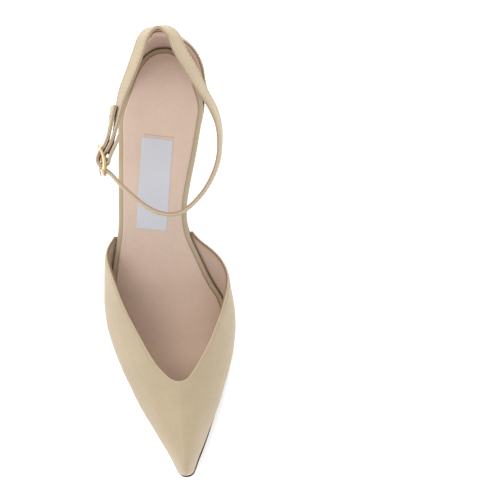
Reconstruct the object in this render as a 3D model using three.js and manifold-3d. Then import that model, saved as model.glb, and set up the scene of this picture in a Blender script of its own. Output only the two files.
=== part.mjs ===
// A right-foot pointed-toe d'Orsay pump with an ankle strap, built as its separate pieces.
// Millimetres, +Z up, toe towards -Y. While it is drawn, y = 0 is the back of the heel seat
// and x = 0 runs from there to the toe tip, with +x on the inner (medial) side of the foot.
import * as THREE from 'three';
import Module from 'manifold-3d';

const wasm = await Module();
wasm.setup();

// ---------------------------------------------------------------- driving dimensions
const TOE_Y = -236; // outer face of the toe tip
const GAP = 0.3; // room kept between touching pieces
const UPPER_LEATHER = 1.0; // thickness of the outer leather
const LINING_LEATHER = 0.8;
const PUFF = 0.6; // toe puff between leather and lining
const COUNTER_SKIN = { lining: [0.25, 0.95], stiffener: [1.2, 1.8], outer: [2.05, 2.9] };
const BOARD = 2.0; // insole board
const BINDING = 0.7; // leather wrapped over the board's edge
const BINDING_WIDTH = 6;
const MARGIN = 12; // width of upper leather lasted under the board
const SOCK_BASE = 3.5; // height of the sock's underside over the board's underside
const SOCK = 0.8;
const SOCK_INSET = 2.8; // rim of binding left showing round the sock
const SOLE_DROP = 2.7; // outsole top under the board's underside in the forepart
const SOLE_DROP_WAIST = 2;
const SOLE = 2.6;
const SOLE_WAIST = 1.8;
const HEEL_BREAST_Y = -42; // front of the heel at the seat
const HEEL_FLARE = 2.6; // how late the heel spreads towards the seat
const HEEL_DROP = 2.8; // heel's top under the board's underside
const TOP_PIECE = 6; // height of the walking piece under the heel
const HEEL_FOOT = { x: -2.2, y: -10, side: 4.6, length: 4.8 };
const HEEL_COVER = [0.3, 0.9];
const COUNTER_REACH = 28; // how far the heel cup's wings run forward
const STRAP_PLY = 0.9;
const STRAP_WIDTH = 9.5;
const BAR = new THREE.Vector3(-32, -67, 135); // middle of the buckle's centre bar
const BUCKLE = { half: 7.2, rail: 6.6, wire: 0.8, bar: 0.7, prong: 0.55, loop: 1.4, camber: 0.031 };

// ---------------------------------------------------------------- curves
// A smooth function through [position, value] pairs given in rising order of position.
function through(pairs) {
  const at = pairs.map((pair) => pair[0]);
  const value = pairs.map((pair) => pair[1]);
  const last = pairs.length - 1;
  const chord = (i) => (value[i + 1] - value[i]) / (at[i + 1] - at[i]);
  const slope = value.map((_, i) => {
    if (i === 0) return chord(0);
    if (i === last) return chord(last - 1);
    const before = at[i] - at[i - 1];
    const after = at[i + 1] - at[i];
    return (chord(i - 1) * after + chord(i) * before) / (before + after);
  });
  return (position) => {
    const p = THREE.MathUtils.clamp(position, at[0], at[last]);
    let i = 0;
    while (i < last - 1 && p > at[i + 1]) i += 1;
    const step = at[i + 1] - at[i];
    const t = (p - at[i]) / step;
    const rise = t * t * (3 - 2 * t);
    const leave = t * (1 - t) * (1 - t) * step * slope[i];
    const arrive = t * t * (t - 1) * step * slope[i + 1];
    return value[i] * (1 - rise) + leave + value[i + 1] * rise + arrive;
  };
}

const clamp01 = (t) => THREE.MathUtils.clamp(t, 0, 1);
const steps = (count) => Array.from({ length: count + 1 }, (_, i) => i / count);
// Positions from one end to the other, drawn together near both ends as ease goes from 0 to 1.
const stations = (from, to, count, ease) => steps(count).map((t) => {
  const eased = (1 - Math.cos(t * Math.PI)) / 2;
  return from + (to - from) * (ease * eased + (1 - ease) * t);
});
// A quarter circle: 0 at the tip (t = 0), 1 where the rounding ends (t = 1).
const rounded = (t) => Math.sqrt(Math.max(0, 1 - (1 - clamp01(t)) ** 2));

// Height of the insole board's underside along the foot.
const feather = through([
  [-236, 12.2], [-215, 9.4], [-195, 6.9], [-173, 5.06], [-157, 5.06], [-148, 7.2], [-135, 13.2],
  [-120, 23.6], [-100, 40.1], [-75, 59.6], [-50, 73.6], [-25, 81.6], [0, 86.4],
]);
// Edge of the bound insole on the outer (lateral) and inner (medial) side of the foot.
const edgeLateral = through([
  [-233.6, -1.6], [-222, -7], [-207.7, -14.6], [-193.5, -22.3], [-179.3, -28.9], [-165, -34.2],
  [-151, -37.9], [-140, -39.4], [-125, -38.9], [-113, -36.4], [-95, -31.9], [-79, -30.3],
  [-53, -28.3], [-33, -26.3], [-26, -23.6], [-18, -20.3], [-8, -17.3], [0, -16.6],
]);
const edgeMedial = through([
  [-233.6, 1.2], [-229, 2.9], [-216, 8.5], [-202, 14.3], [-188.7, 19.4], [-175, 23.9],
  [-161, 27.2], [-150, 28.2], [-142, 27.4], [-134, 25], [-125, 19.9], [-110, 13.1], [-98, 8.3],
  [-91, 7.5], [-84, 7.9], [-72, 10.6], [-59, 14.2], [-43, 17.9], [-33, 19.8], [-26, 18.9],
  [-18, 17], [-8, 15.6], [0, 14.6],
]);
// The vamp's ridge line, half widths from it to each side, and height over the board.
const ridge = through([[-236, 0], [-182, -1.2], [-160, -2.2], [-138, -3], [-98, -4.4]]);
const vampLateral = through([
  [-236, 3], [-229, 6.7], [-222, 10.2], [-207.7, 17.7], [-193.5, 25.2], [-179.3, 31.5],
  [-165, 36.6], [-152, 40.1], [-145, 41.2], [-138, 41.3], [-125, 39.9], [-113, 38.2],
  [-105, 36.2], [-98, 33.5],
]);
const vampMedial = through([
  [-236, 3], [-229.5, 6.2], [-216, 12.2], [-202, 18.4], [-188.7, 24.5], [-175, 30], [-161, 34.3],
  [-150, 36.1], [-140, 36.7], [-130, 36.4], [-122, 35.8], [-114, 34.3], [-105, 32.4], [-98, 31],
]);
const vampHeight = through([
  [-236, 9], [-228, 14], [-215, 19.5], [-200, 25], [-182, 31.5], [-160, 39], [-138, 46],
  [-120, 52.5], [-98, 61],
]);
// Topline: how far forward the opening reaches, from each side's edge (1) to the ridge (0).
const toplineLateral = through([
  [0, -182.3], [0.128, -180.9], [0.196, -176.5], [0.254, -171.7], [0.316, -163.9],
  [0.37, -155.2], [0.412, -146.6], [0.483, -138], [0.581, -126.8], [0.655, -119.3],
  [0.72, -114], [0.8, -109], [0.88, -105], [0.95, -101.5], [1, -98.5],
]);
const toplineMedial = through([
  [0, -182.3], [0.062, -181.8], [0.123, -180], [0.199, -174.5], [0.284, -166.2],
  [0.354, -158.8], [0.417, -151.4], [0.493, -144.1], [0.557, -137.7], [0.63, -131.3],
  [0.68, -126.5], [0.72, -121], [0.79, -114.7], [0.87, -110], [0.93, -105], [0.97, -102],
  [1, -97.5],
]);

// ---------------------------------------------------------------- closed meshes
const KEY = 1e4; // vertices closer than 1/KEY are one vertex

// A closed BufferGeometry from points and faces, merged, cleaned and turned to face outwards.
function closed(points, faces) {
  const found = new Map();
  const kept = [];
  const index = points.map((point) => {
    const key = [point.x, point.y, point.z].map((c) => Math.round(c * KEY)).join();
    if (!found.has(key)) {
      found.set(key, kept.length);
      kept.push(point);
    }
    return found.get(key);
  });
  const whole = faces
    .map((face) => face.map((i) => index[i]))
    .filter(([a, b, c]) => a !== b && b !== c && c !== a);
  const volume = whole.reduce(
    (sum, [a, b, c]) => sum + kept[a].dot(new THREE.Vector3().crossVectors(kept[b], kept[c])), 0);
  const turned = volume < 0 ? whole.map(([a, b, c]) => [a, c, b]) : whole;
  const geometry = new THREE.BufferGeometry();
  const numbers = kept.flatMap((point) => [point.x, point.y, point.z]);
  geometry.setAttribute('position', new THREE.Float32BufferAttribute(numbers, 3));
  geometry.setIndex(turned.flat());
  return geometry;
}

// The solid between two grids of points, face[row][column] and back[row][column].
// With ring true the last column joins the first, so that the solid is a tube wall.
function slab(face, back, ring = false) {
  const rows = face.length;
  const columns = face[0].length;
  const points = [...face.flat(), ...back.flat()];
  const faces = [];
  const front = (r, c) => r * columns + (c % columns);
  const rear = (r, c) => rows * columns + front(r, c);
  const quad = (a, b, c, d) => faces.push([a, b, c], [a, c, d]);
  const spans = ring ? columns : columns - 1;
  for (let r = 0; r < rows - 1; r += 1) {
    for (let c = 0; c < spans; c += 1) {
      quad(front(r, c), front(r, c + 1), front(r + 1, c + 1), front(r + 1, c));
      quad(rear(r, c), rear(r + 1, c), rear(r + 1, c + 1), rear(r, c + 1));
    }
  }
  for (let c = 0; c < spans; c += 1) {
    quad(front(0, c), rear(0, c), rear(0, c + 1), front(0, c + 1));
    quad(front(rows - 1, c), front(rows - 1, c + 1), rear(rows - 1, c + 1), rear(rows - 1, c));
  }
  for (let r = 0; !ring && r < rows - 1; r += 1) {
    quad(front(r, 0), front(r + 1, 0), rear(r + 1, 0), rear(r, 0));
    quad(front(r, spans), rear(r, spans), rear(r + 1, spans), front(r + 1, spans));
  }
  return closed(points, faces);
}

// The solid through a row of closed rings, each a list of the same number of points.
// With caps false the last ring joins the first. A hollow section gives its own capFaces.
function loft(rings, caps = true, capFaces = null) {
  const size = rings[0].length;
  const points = rings.flat();
  const faces = [];
  const last = caps ? rings.length - 1 : rings.length;
  for (let r = 0; r < last; r += 1) {
    const next = (r + 1) % rings.length;
    for (let i = 0; i < size; i += 1) {
      const j = (i + 1) % size;
      faces.push([r * size + i, r * size + j, next * size + j]);
      faces.push([r * size + i, next * size + j, next * size + i]);
    }
  }
  const cap = (start, flip) => {
    if (capFaces) {
      capFaces.map((face) => [...face].sort((a, b) => a - b)).forEach(([a, b, c]) => {
        faces.push(flip ? [start + a, start + c, start + b] : [start + a, start + b, start + c]);
      });
      return;
    }
    const middle = new THREE.Vector3();
    for (let i = 0; i < size; i += 1) middle.addScaledVector(points[start + i], 1 / size);
    const centre = points.push(middle) - 1;
    for (let i = 0; i < size; i += 1) {
      const pair = [start + i, start + ((i + 1) % size)];
      faces.push(flip ? [centre, pair[1], pair[0]] : [centre, pair[0], pair[1]]);
    }
  };
  if (caps) {
    cap(0, true);
    cap((rings.length - 1) * size, false);
  }
  return closed(points, faces);
}

function toManifold(geometry) {
  const position = geometry.attributes.position;
  const vertProperties = Float32Array.from(position.array);
  const triVerts = Uint32Array.from(geometry.index.array);
  return new wasm.Manifold(new wasm.Mesh({ numProp: 3, vertProperties, triVerts }));
}

function fromManifold(solid) {
  const mesh = solid.getMesh();
  const points = [];
  for (let i = 0; i < mesh.vertProperties.length; i += mesh.numProp) {
    points.push(new THREE.Vector3().fromArray(mesh.vertProperties, i));
  }
  const faces = [];
  for (let i = 0; i < mesh.triVerts.length; i += 3) {
    faces.push([...mesh.triVerts.slice(i, i + 3)]);
  }
  return closed(points, faces);
}

// The first solid with all the others cut out of it.
function cut(geometry, cutters) {
  return fromManifold(cutters.reduce(
    (solid, cutter) => solid.subtract(toManifold(cutter)), toManifold(geometry)));
}

// A turned piece at x, y, z from [radius, height] pairs, its axis tilted back by tilt.
function turned(profile, x, y, z, sides = 12, tilt = 0) {
  const rings = profile.map(([radius, height]) => steps(sides - 1).map((_, i) => {
    const angle = (i / sides) * Math.PI * 2;
    return new THREE.Vector3(radius * Math.cos(angle), radius * Math.sin(angle), height)
      .applyAxisAngle(new THREE.Vector3(1, 0, 0), tilt).add(new THREE.Vector3(x, y, z));
  }));
  return loft(rings);
}

// A round wire along a path of points, with a section frame given by two directions.
function wire(path, radius, side, sides = 8, joined = false) {
  const rings = path.map((point, i) => {
    const before = path[joined ? (i + path.length - 1) % path.length : Math.max(i - 1, 0)];
    const after = path[joined ? (i + 1) % path.length : Math.min(i + 1, path.length - 1)];
    const along = new THREE.Vector3().subVectors(after, before).normalize();
    const across = new THREE.Vector3().crossVectors(along, side).normalize();
    const up = new THREE.Vector3().crossVectors(across, along);
    return steps(sides - 1).map((_, k) => {
      const angle = (k / sides) * Math.PI * 2;
      return point.clone()
        .addScaledVector(across, radius * Math.cos(angle))
        .addScaledVector(up, radius * Math.sin(angle));
    });
  });
  return loft(rings, !joined);
}

// ---------------------------------------------------------------- the insole's outline
const SEAT_END = 17; // length of the rounded back of the seat
const TOE_END = 2.4; // length of the rounded toe of the insole
const INSOLE_TOE_Y = -233.4;

// Left and right edge of the insole at y, drawn in by inset.
function insoleEdges(y, inset = 0) {
  const fromBack = (-y - inset) / (SEAT_END - inset);
  const fromToe = (y - INSOLE_TOE_Y - inset) / TOE_END;
  const ends = rounded(fromBack) * rounded(fromToe);
  const drawnIn = (edge) => inset * Math.hypot(1, edge(y + 0.5) - edge(y - 0.5));
  const left = edgeLateral(y) + drawnIn(edgeLateral);
  const right = edgeMedial(y) - drawnIn(edgeMedial);
  const middle = (left + right) / 2;
  const half = Math.max(0, (right - left) / 2) * ends;
  return [middle - half, middle + half];
}

// A flat piece following the bottom curve, between heights low(y) and high(y).
function plate(from, to, count, inset, low, high) {
  const row = (height) => stations(from, to, count, 0.35).map((y) => insoleEdges(y, inset)
    .map((x) => new THREE.Vector3(x, y, height(y))));
  return slab(row(high), row(low));
}

const overBoard = (rise) => (y) => feather(y) + rise;

// A point on the seat's edge: p runs from -1 (lateral) round the back (0) to 1 (medial),
// reaching forward by reach; out moves it along the edge's outward normal.
function seatEdge(p, reach, out) {
  const place = (q) => {
    const y = -reach * q * q;
    const [left, right] = insoleEdges(y);
    return new THREE.Vector3(q < 0 ? left : right, y, 0);
  };
  const here = place(p);
  const step = 0.01;
  const along = place(p + step).sub(place(p - step)).normalize();
  return here.add(new THREE.Vector3(-along.y, along.x, 0).multiplyScalar(-out).negate());
}

// ---------------------------------------------------------------- bottom pieces
const soleDrop = (y) => SOLE_DROP_WAIST
  + (SOLE_DROP - SOLE_DROP_WAIST) * THREE.MathUtils.smoothstep(-y, 80, 96);
const soleThickness = (y) => SOLE_WAIST
  + (SOLE - SOLE_WAIST) * THREE.MathUtils.smoothstep(-y, 95, 140);
// How far the sole's edge stands out from the insole's edge along the foot.
const soleWelt = through([
  [-237.4, 3.1], [-205, 3.5], [-170, 2.6], [-120, 2.4], [-104, 1.2], [-96, 0.3], [-40, -0.8],
]);

const SOLE_PAST_TOE = 1.1; // how far the outsole shows in front of the toe
const SOLE_TOE_ROUND = 4.6;

function outsole() {
  const toe = TOE_Y - SOLE_PAST_TOE;
  const breast = HEEL_BREAST_Y - 1.6;
  const row = (height) => stations(toe, breast, 50, 0.4).map((y) => {
    const left = edgeLateral(y) - soleWelt(y);
    const right = edgeMedial(y) + soleWelt(y);
    const middle = (left + right) / 2;
    const half = ((right - left) / 2) * rounded((y - toe) / SOLE_TOE_ROUND);
    return [middle - half, middle + half].map((x) => new THREE.Vector3(x, y, height(y)));
  });
  const top = (y) => feather(y) - soleDrop(y);
  return slab(row(top), row((y) => Math.max(0, top(y) - soleThickness(y))));
}

const SCREW = { x: -2.4, y: -18, radius: 2 };
const NAILS = [[-7.5, -13], [3.2, -13], [-10.5, -25], [5.8, -25]];
const RIVETS = [-33, -118];
const rivetX = (y) => (edgeLateral(y) + edgeMedial(y)) / 2;
const rivetTilt = (y) => Math.atan(feather(y + 0.5) - feather(y - 0.5));

function insoleBoard() {
  const blank = plate(-1.1, INSOLE_TOE_Y + 1.1, 52, 1.1, overBoard(0), overBoard(BOARD));
  const hole = (x, y, radius) => turned([[radius, -4], [radius, 6]], x, y, feather(y), 12);
  return cut(blank, [
    hole(SCREW.x, SCREW.y, 3.8),
    ...NAILS.map(([x, y]) => hole(x, y, 2.2)),
    ...RIVETS.map((y) => turned([[2.4, -4], [2.4, 6]], rivetX(y), y, feather(y), 12, rivetTilt(y))),
  ]);
}

// A leather strip folded over the board's edge, from one side of the ball round the heel.
function insoleBinding() {
  const reach = 158;
  const inner = BINDING_WIDTH;
  const over = BOARD + 0.4;
  const under = -0.4;
  const section = [
    [0, under - BINDING], [0, over + BINDING], [inner, over + BINDING], [inner, over],
    [BINDING, over], [BINDING, under], [inner, under], [inner, under - BINDING],
  ];
  const path = steps(72).map((t) => Math.sign(t * 2 - 1) * Math.abs(t * 2 - 1) ** 0.62);
  const rings = path.map((q) => section.map(([inset, rise]) => {
    const point = seatEdge(q, reach, -inset);
    return point.setZ(feather(point.y) + rise);
  }));
  const corners = section.map(([inset, rise]) => new THREE.Vector2(inset, rise));
  return loft(rings, true, THREE.ShapeUtils.triangulateShape(corners, []));
}

const SHANK = { from: -27, to: -124, half: 5, thickness: 1.3 };

function steelShank() {
  const row = (rise) => stations(SHANK.from, SHANK.to, 16, 0).map((y) => [-1, 1].map(
    (side) => new THREE.Vector3(rivetX(y) + side * SHANK.half, y, feather(y) + rise)));
  const blank = slab(row(-GAP), row(-GAP - SHANK.thickness));
  return cut(blank, RIVETS.map(
    (y) => turned([[1.9, -5], [1.9, 6]], rivetX(y), y, feather(y), 10, rivetTilt(y))));
}

function shankRivet(y) {
  const profile = [[1.5, -1.4], [1.5, 1], [2, 1], [2, 1.6]];
  return turned(profile, rivetX(y), y, feather(y), 10, rivetTilt(y));
}

function labelPatch() {
  const middle = new THREE.Vector2(-9.5, -72.2);
  const along = new THREE.Vector2(-0.144, -0.99);
  const across = new THREE.Vector2(0.99, -0.144);
  const half = { length: 23.9, width: 8.6 };
  const row = (rise) => steps(14).map((t) => [-1, 1].map((side) => {
    const point = middle.clone().addScaledVector(along, (t * 2 - 1) * half.length)
      .addScaledVector(across, side * half.width);
    return new THREE.Vector3(point.x, point.y, feather(point.y) + SOCK_BASE + SOCK + rise);
  }));
  return slab(row(0.7), row(GAP));
}

// ---------------------------------------------------------------- heel
const HEEL_BACK_POINTS = 20;
const HEEL_FRONT_POINTS = 8;
// How far the heel core's top stands outside the insole's edge: under the cup, then at the breast.
const seatOut = (p) => 1.3 - 2.1 * THREE.MathUtils.smoothstep(Math.abs(p), 0.72, 0.95);

// One ring of the heel at level v (0 at the foot, 1 at the seat), grown outwards by grow.
function heelRing(v, grow) {
  const flare = v ** HEEL_FLARE;
  const spread = THREE.MathUtils.degToRad(125);
  const reach = -HEEL_BREAST_Y;
  const seat = (p) => seatEdge(p, reach + grow, seatOut(p) + grow);
  const foot = (p) => new THREE.Vector3(
    HEEL_FOOT.x + (HEEL_FOOT.side + grow) * Math.sin(p * spread),
    HEEL_FOOT.y + (HEEL_FOOT.length + grow) * Math.cos(p * spread), 0);
  const join = (low, high) => {
    const point = low.clone().lerp(high, flare);
    const top = feather(high.y) - HEEL_DROP;
    return point.setZ(TOP_PIECE + GAP + (top - TOP_PIECE - GAP) * v);
  };
  const back = steps(HEEL_BACK_POINTS).map((t) => join(foot(t * 2 - 1), seat(t * 2 - 1)));
  const front = steps(HEEL_FRONT_POINTS).slice(1, -1).map((t) => {
    const dent = Math.sin(t * Math.PI);
    const low = foot(1).lerp(foot(-1), t);
    const high = seat(1).lerp(seat(-1), t);
    low.y -= grow * 0.4;
    high.y += 1.6 * dent;
    return join(low, high);
  });
  return [...back, ...front];
}

const heelLevels = steps(8);

function heelCore() {
  const blank = loft(heelLevels.map((v) => heelRing(v, 0)));
  const seatZ = feather(SCREW.y);
  const drill = (x, y, radius, depth) => turned([[radius, -depth], [radius, 4]], x, y, feather(y), 12);
  return cut(blank, [
    turned([[2.3, -26], [2.3, 4]], SCREW.x, SCREW.y, seatZ, 12),
    ...NAILS.map(([x, y]) => drill(x, y, 1.1, 13.5)),
    turned([[1.8, 0], [1.8, 20]], HEEL_FOOT.x, HEEL_FOOT.y, TOP_PIECE - 1, 12),
  ]);
}

function heelCover() {
  const outer = heelLevels.map((v) => heelRing(v, HEEL_COVER[1]));
  const inner = heelLevels.map((v) => heelRing(v, HEEL_COVER[0]));
  return slab(outer, inner, true);
}

function heelTopPiece() {
  const base = heelRing(0, HEEL_COVER[1]);
  const ring = (z, grow) => base.map((point) => new THREE.Vector3(
    HEEL_FOOT.x + (point.x - HEEL_FOOT.x) * grow, HEEL_FOOT.y + (point.y - HEEL_FOOT.y) * grow, z));
  const blank = loft([ring(0, 0.97), ring(0.6, 1), ring(TOP_PIECE, 1)]);
  return cut(blank, [turned([[1.8, 1.7], [1.8, 8]], HEEL_FOOT.x, HEEL_FOOT.y, 0, 12)]);
}

const topPiecePin = () => turned([[1.5, 2], [1.5, 24]], HEEL_FOOT.x, HEEL_FOOT.y, 0, 12);
const heelScrew = () => turned(
  [[1.2, -25], [SCREW.radius, -22], [SCREW.radius, -0.2], [3.4, -0.2], [3.4, 1]],
  SCREW.x, SCREW.y, feather(SCREW.y), 12);
const heelNail = (x, y) => turned([[0.3, -13], [0.8, -11.5], [0.8, 1], [1.8, 1], [1.8, 1.7]],
  x, y, feather(y), 10);

// ---------------------------------------------------------------- vamp
// How the vamp's section is shaped at y on one side: fullness, rise and flare angle.
function vampShape(y, side) {
  const t = THREE.MathUtils.smoothstep(-y, 150, 210);
  const mix = THREE.MathUtils.lerp;
  if (side < 0) return [mix(1.1, 1.05, t), mix(1.35, 1.15, t), THREE.MathUtils.degToRad(25)];
  return [mix(0.85, 1.05, t), mix(1.1, 1.15, t), THREE.MathUtils.degToRad(33)];
}

const puffed = (y) => THREE.MathUtils.smoothstep(-y, 186, 196); // room made for the toe puff
const vampWall = (y) => GAP + LINING_LEATHER + GAP + UPPER_LEATHER + (PUFF + GAP) * puffed(y);

// A point of the vamp: u from -1 (lateral edge) over the ridge (0) to 1 (medial edge),
// inset is the depth under the outer face.
function vampPoint(y, u, inset) {
  const side = u < 0 ? -1 : 1;
  const [fullness, rise, flareAngle] = vampShape(y, side);
  const angle = (1 - Math.abs(u)) * (Math.PI / 2);
  const half = (side < 0 ? vampLateral(y) : vampMedial(y)) - inset;
  const edge = side < 0 ? ridge(y) - edgeLateral(y) : edgeMedial(y) - ridge(y);
  const foot = edge + vampWall(y) - inset;
  const flare = Math.max(0, 1 - angle / flareAngle);
  const reach = half * Math.cos(angle) ** fullness - (half - foot) * flare * flare;
  const fromToe = y - TOE_Y - inset;
  const nose = 0.55 + 0.45 * rounded(fromToe / 6);
  const height = (vampHeight(y) - inset) * nose * Math.sin(angle) ** rise;
  return new THREE.Vector3(
    ridge(y) + side * reach * rounded(fromToe / 3), y, feather(y) + height);
}

const toplineY = (u) => (u < 0 ? toplineLateral(-u) : toplineMedial(u));

// A grid over the vamp at one depth, from the topline (or a line further on) to the toe tip.
function vampGrid(columns, rows, depth, startY = () => 0, short = 0) {
  return steps(rows).map((t) => columns.map((u) => {
    const from = Math.min(toplineY(u), startY(u));
    const to = TOE_Y + depth(TOE_Y) + short;
    const y = from + (to - from) * (0.6 * t + 0.4 * Math.sin((t * Math.PI) / 2));
    return vampPoint(y, u, depth(y));
  }));
}

const vampColumns = (count) => steps(count).map((t) => t * 2 - 1);

// Adds the lasting margin under the board to both ends of each row of the outer leather.
function withMargin(grid, drop) {
  return grid.map((row) => {
    const inward = (from, other) => {
      const wide = Math.abs(other.x - from.x);
      const reach = Math.min(MARGIN, 0.4 * wide) * Math.sign(other.x - from.x);
      return [0, 1].map((t) => new THREE.Vector3(
        from.x + reach * (1 - t), from.y, feather(from.y) - drop));
    };
    const first = row[0];
    const last = row[row.length - 1];
    return [...inward(first, last), ...row, ...inward(last, first).reverse()];
  });
}

const MARGIN_TOP = 1.6; // margin's upper face under the board's underside
const MARGIN_BOTTOM = 2.4;
const CUP_MARGIN = 8;

function vampOuter() {
  const columns = vampColumns(20);
  const face = vampGrid(columns, 18, () => 0);
  const back = vampGrid(columns, 18, () => UPPER_LEATHER);
  return slab(withMargin(face, MARGIN_BOTTOM), withMargin(back, MARGIN_TOP));
}

function vampLining() {
  const columns = vampColumns(20);
  const shift = (y) => (PUFF + GAP) * puffed(y);
  const face = vampGrid(columns, 18, (y) => UPPER_LEATHER + GAP + shift(y));
  const back = vampGrid(columns, 18, (y) => UPPER_LEATHER + GAP + LINING_LEATHER + shift(y));
  return slab(face, back);
}

function toePuff() {
  const columns = vampColumns(16);
  const start = (u) => -199 - 6 * u * u;
  const trimmed = 4.5; // its tip is cut away where the leather folds sharply
  const face = vampGrid(columns, 6, () => UPPER_LEATHER + GAP, start, trimmed);
  const back = vampGrid(columns, 6, () => UPPER_LEATHER + GAP + PUFF, start, trimmed);
  return slab(face, back);
}

// ---------------------------------------------------------------- heel cup
// How far the cup's wall stands out at height h over the board, and how high it is at p.
const cupBulgeMedial = through([
  [0, 0], [8, 1.6], [18, 2.4], [30, 1.4], [40, -0.9], [48, -3.1], [56, -5.1],
]);
const cupBulgeLateral = through([
  [0, 0], [8, 0.3], [18, -0.6], [30, -1.6], [40, -2.8], [48, -3.9], [56, -5.3],
]);
const cupBulge = (p, height) => THREE.MathUtils.lerp(
  cupBulgeMedial(height), cupBulgeLateral(height), THREE.MathUtils.smoothstep(-p, 0.05, 0.35));
const cupTop = through([
  [0, 53], [0.1, 52], [0.2, 46.5], [0.3, 40.5], [0.38, 36], [0.44, 32], [0.55, 25], [0.62, 21],
  [0.8, 12], [1, 5],
]);

function cupGrid(out, margin) {
  const columns = steps(22).map((t) => t * 2 - 1);
  const wall = steps(6).map((t) => columns.map((p) => {
    const height = cupTop(Math.abs(p)) * t;
    const point = seatEdge(p, COUNTER_REACH, out + cupBulge(p, height));
    return point.setZ(feather(seatEdge(p, COUNTER_REACH, 0).y) + height);
  }));
  const under = margin ? [-CUP_MARGIN, out].map((reach) => columns.map((p) => {
    const point = seatEdge(p, COUNTER_REACH, reach);
    return point.setZ(feather(point.y) - margin);
  })) : [];
  return [...under, ...wall];
}

const counterOuter = () => slab(
  cupGrid(COUNTER_SKIN.outer[1], MARGIN_BOTTOM), cupGrid(COUNTER_SKIN.outer[0], MARGIN_TOP));
const counterStiffener = () => slab(
  cupGrid(COUNTER_SKIN.stiffener[1], 0), cupGrid(COUNTER_SKIN.stiffener[0], 0));
const counterLining = () => slab(
  cupGrid(COUNTER_SKIN.lining[1], 0), cupGrid(COUNTER_SKIN.lining[0], 0));

// ---------------------------------------------------------------- ankle strap and buckle
const ALONG = new THREE.Vector3(0.13, -0.9915, 0); // forward along the strap at the buckle
const OUT = new THREE.Vector3(-0.9915, -0.13, 0); // away from the ankle at the buckle
const UP = new THREE.Vector3(0, 0, 1);
const atBuckle = (s, n, z = 0) => BAR.clone()
  .addScaledVector(ALONG, s).addScaledVector(OUT, n).addScaledVector(UP, z);
const strapPoint = (x, y, z, lean, width) => ({ at: new THREE.Vector3(x, y, z), lean, width });
const buckled = (s, n) => ({ at: atBuckle(s, n), lean: 0, width: STRAP_WIDTH });

// Middle of the strap's thickness: lateral arm, round the back of the heel cup, inner side,
// over the instep, through the buckle and back along the outside as the free end.
const strapRoute = [
  buckled(-3.6, -1.8), buckled(-7.2, -4.6),
  strapPoint(-25.3, -50, 135.4, 10, 9.6), strapPoint(-22.6, -38.5, 136, 22, 9.8),
  strapPoint(-20.2, -30.8, 136.4, 31, 10), strapPoint(-15.6, -20.2, 136.8, 34, 10.2),
  strapPoint(-11.6, -10.2, 137, 35, 10.4), strapPoint(-9.1, -3.7, 137, 33, 10.4),
  strapPoint(-6.2, 0.3, 137, 29, 10.4), strapPoint(-1.4, 2.1, 137, 25, 10.4),
  strapPoint(3, 1.2, 137, 28, 10.4), strapPoint(6.4, -2.5, 137, 33, 10.4),
  strapPoint(9.2, -9.9, 137, 36, 10.4), strapPoint(15, -21, 136.8, 37, 10.2),
  strapPoint(21.1, -33.4, 136.3, 27, 9.9), strapPoint(25.6, -42, 135.8, 22, 9.7),
  strapPoint(28, -49.8, 135.3, 14, 9.5), strapPoint(28.6, -57.5, 135, 8, 9.5),
  strapPoint(26.8, -70.7, 134.4, 3, 9.5), strapPoint(19.4, -84.8, 133.8, -1, 9.5),
  strapPoint(8.2, -95, 133.5, -3, 9.5), strapPoint(1.6, -96.6, 133.5, -3, 9.5),
  strapPoint(-4.9, -95.3, 133.6, -2, 9.5), strapPoint(-11.5, -91.6, 133.8, -1, 9.5),
  strapPoint(-23.4, -80.6, 134.6, 0, 9.5),
  buckled(7.3, -1.9), buckled(3.9, 1.6), buckled(0, 3.4), buckled(-3.8, 1.5),
  buckled(-7.2, -1.7),
  strapPoint(-28.4, -50.3, 134.4, 8, 9.4), strapPoint(-27.3, -44.5, 134.1, 12, 9.3),
  strapPoint(-26, -38.4, 134, 17, 9.2),
];
// The outer leather's first stretch: folded inside the arm and round the buckle's bar.
const foldRoute = [
  buckled(-12.6, -10.4), buckled(-7.2, -7), buckled(-3.5, -4.5), buckled(-0.4, -2.7),
  buckled(1.4, -2), buckled(2.2, -0.7), buckled(1.6, 0.9), buckled(0, 1.5), buckled(-1.8, 0.65),
];

// Evenly sampled stretch of strap with its direction, lean and width at each sample.
function strapSamples(route, count) {
  const curve = new THREE.CatmullRomCurve3(route.map((stop) => stop.at), false, 'centripetal');
  const spread = (key) => through(route.map((stop, i) => [i / (route.length - 1), stop[key]]));
  const lean = spread('lean');
  const width = spread('width');
  return steps(count).map((t) => ({
    at: curve.getPoint(t), along: curve.getTangent(t), lean: lean(t), width: width(t),
  }));
}

// The four corners of one ply at a sample: mid is how far its middle is outside the strap's.
function plySection({ at, along, lean, width }, mid) {
  const flat = new THREE.Vector3(-along.y, along.x, 0).normalize();
  const tilt = THREE.MathUtils.degToRad(lean);
  const up = UP.clone().multiplyScalar(Math.cos(tilt)).addScaledVector(flat, -Math.sin(tilt));
  const out = flat.clone().multiplyScalar(Math.cos(tilt)).addScaledVector(UP, Math.sin(tilt));
  const corner = (n, h) => at.clone().addScaledVector(out, n).addScaledVector(up, h);
  const half = STRAP_PLY / 2;
  return [
    corner(mid - half, -width / 2), corner(mid + half, -width / 2),
    corner(mid + half, width / 2), corner(mid - half, width / 2),
  ];
}

const PLY_MID = 0.63; // from the strap's middle to the middle of each ply
const STRAP_SAMPLES = 84;

// A square cutter in the buckle's frame, from s0 to s1 along, n0 to n1 out, 2 * half high.
function buckleSlot(s0, s1, n0, n1, half) {
  const ring = (s) => [atBuckle(s, n0, -half), atBuckle(s, n1, -half), atBuckle(s, n1, half),
    atBuckle(s, n0, half)];
  return loft([ring(s0), ring(s1)]);
}

const prongHole = () => buckleSlot(0.1, 5.2, 0.4, 6, 1);
const prongSlit = () => buckleSlot(-2.5, 3.4, -2, 2.1, 1.1);

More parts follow.
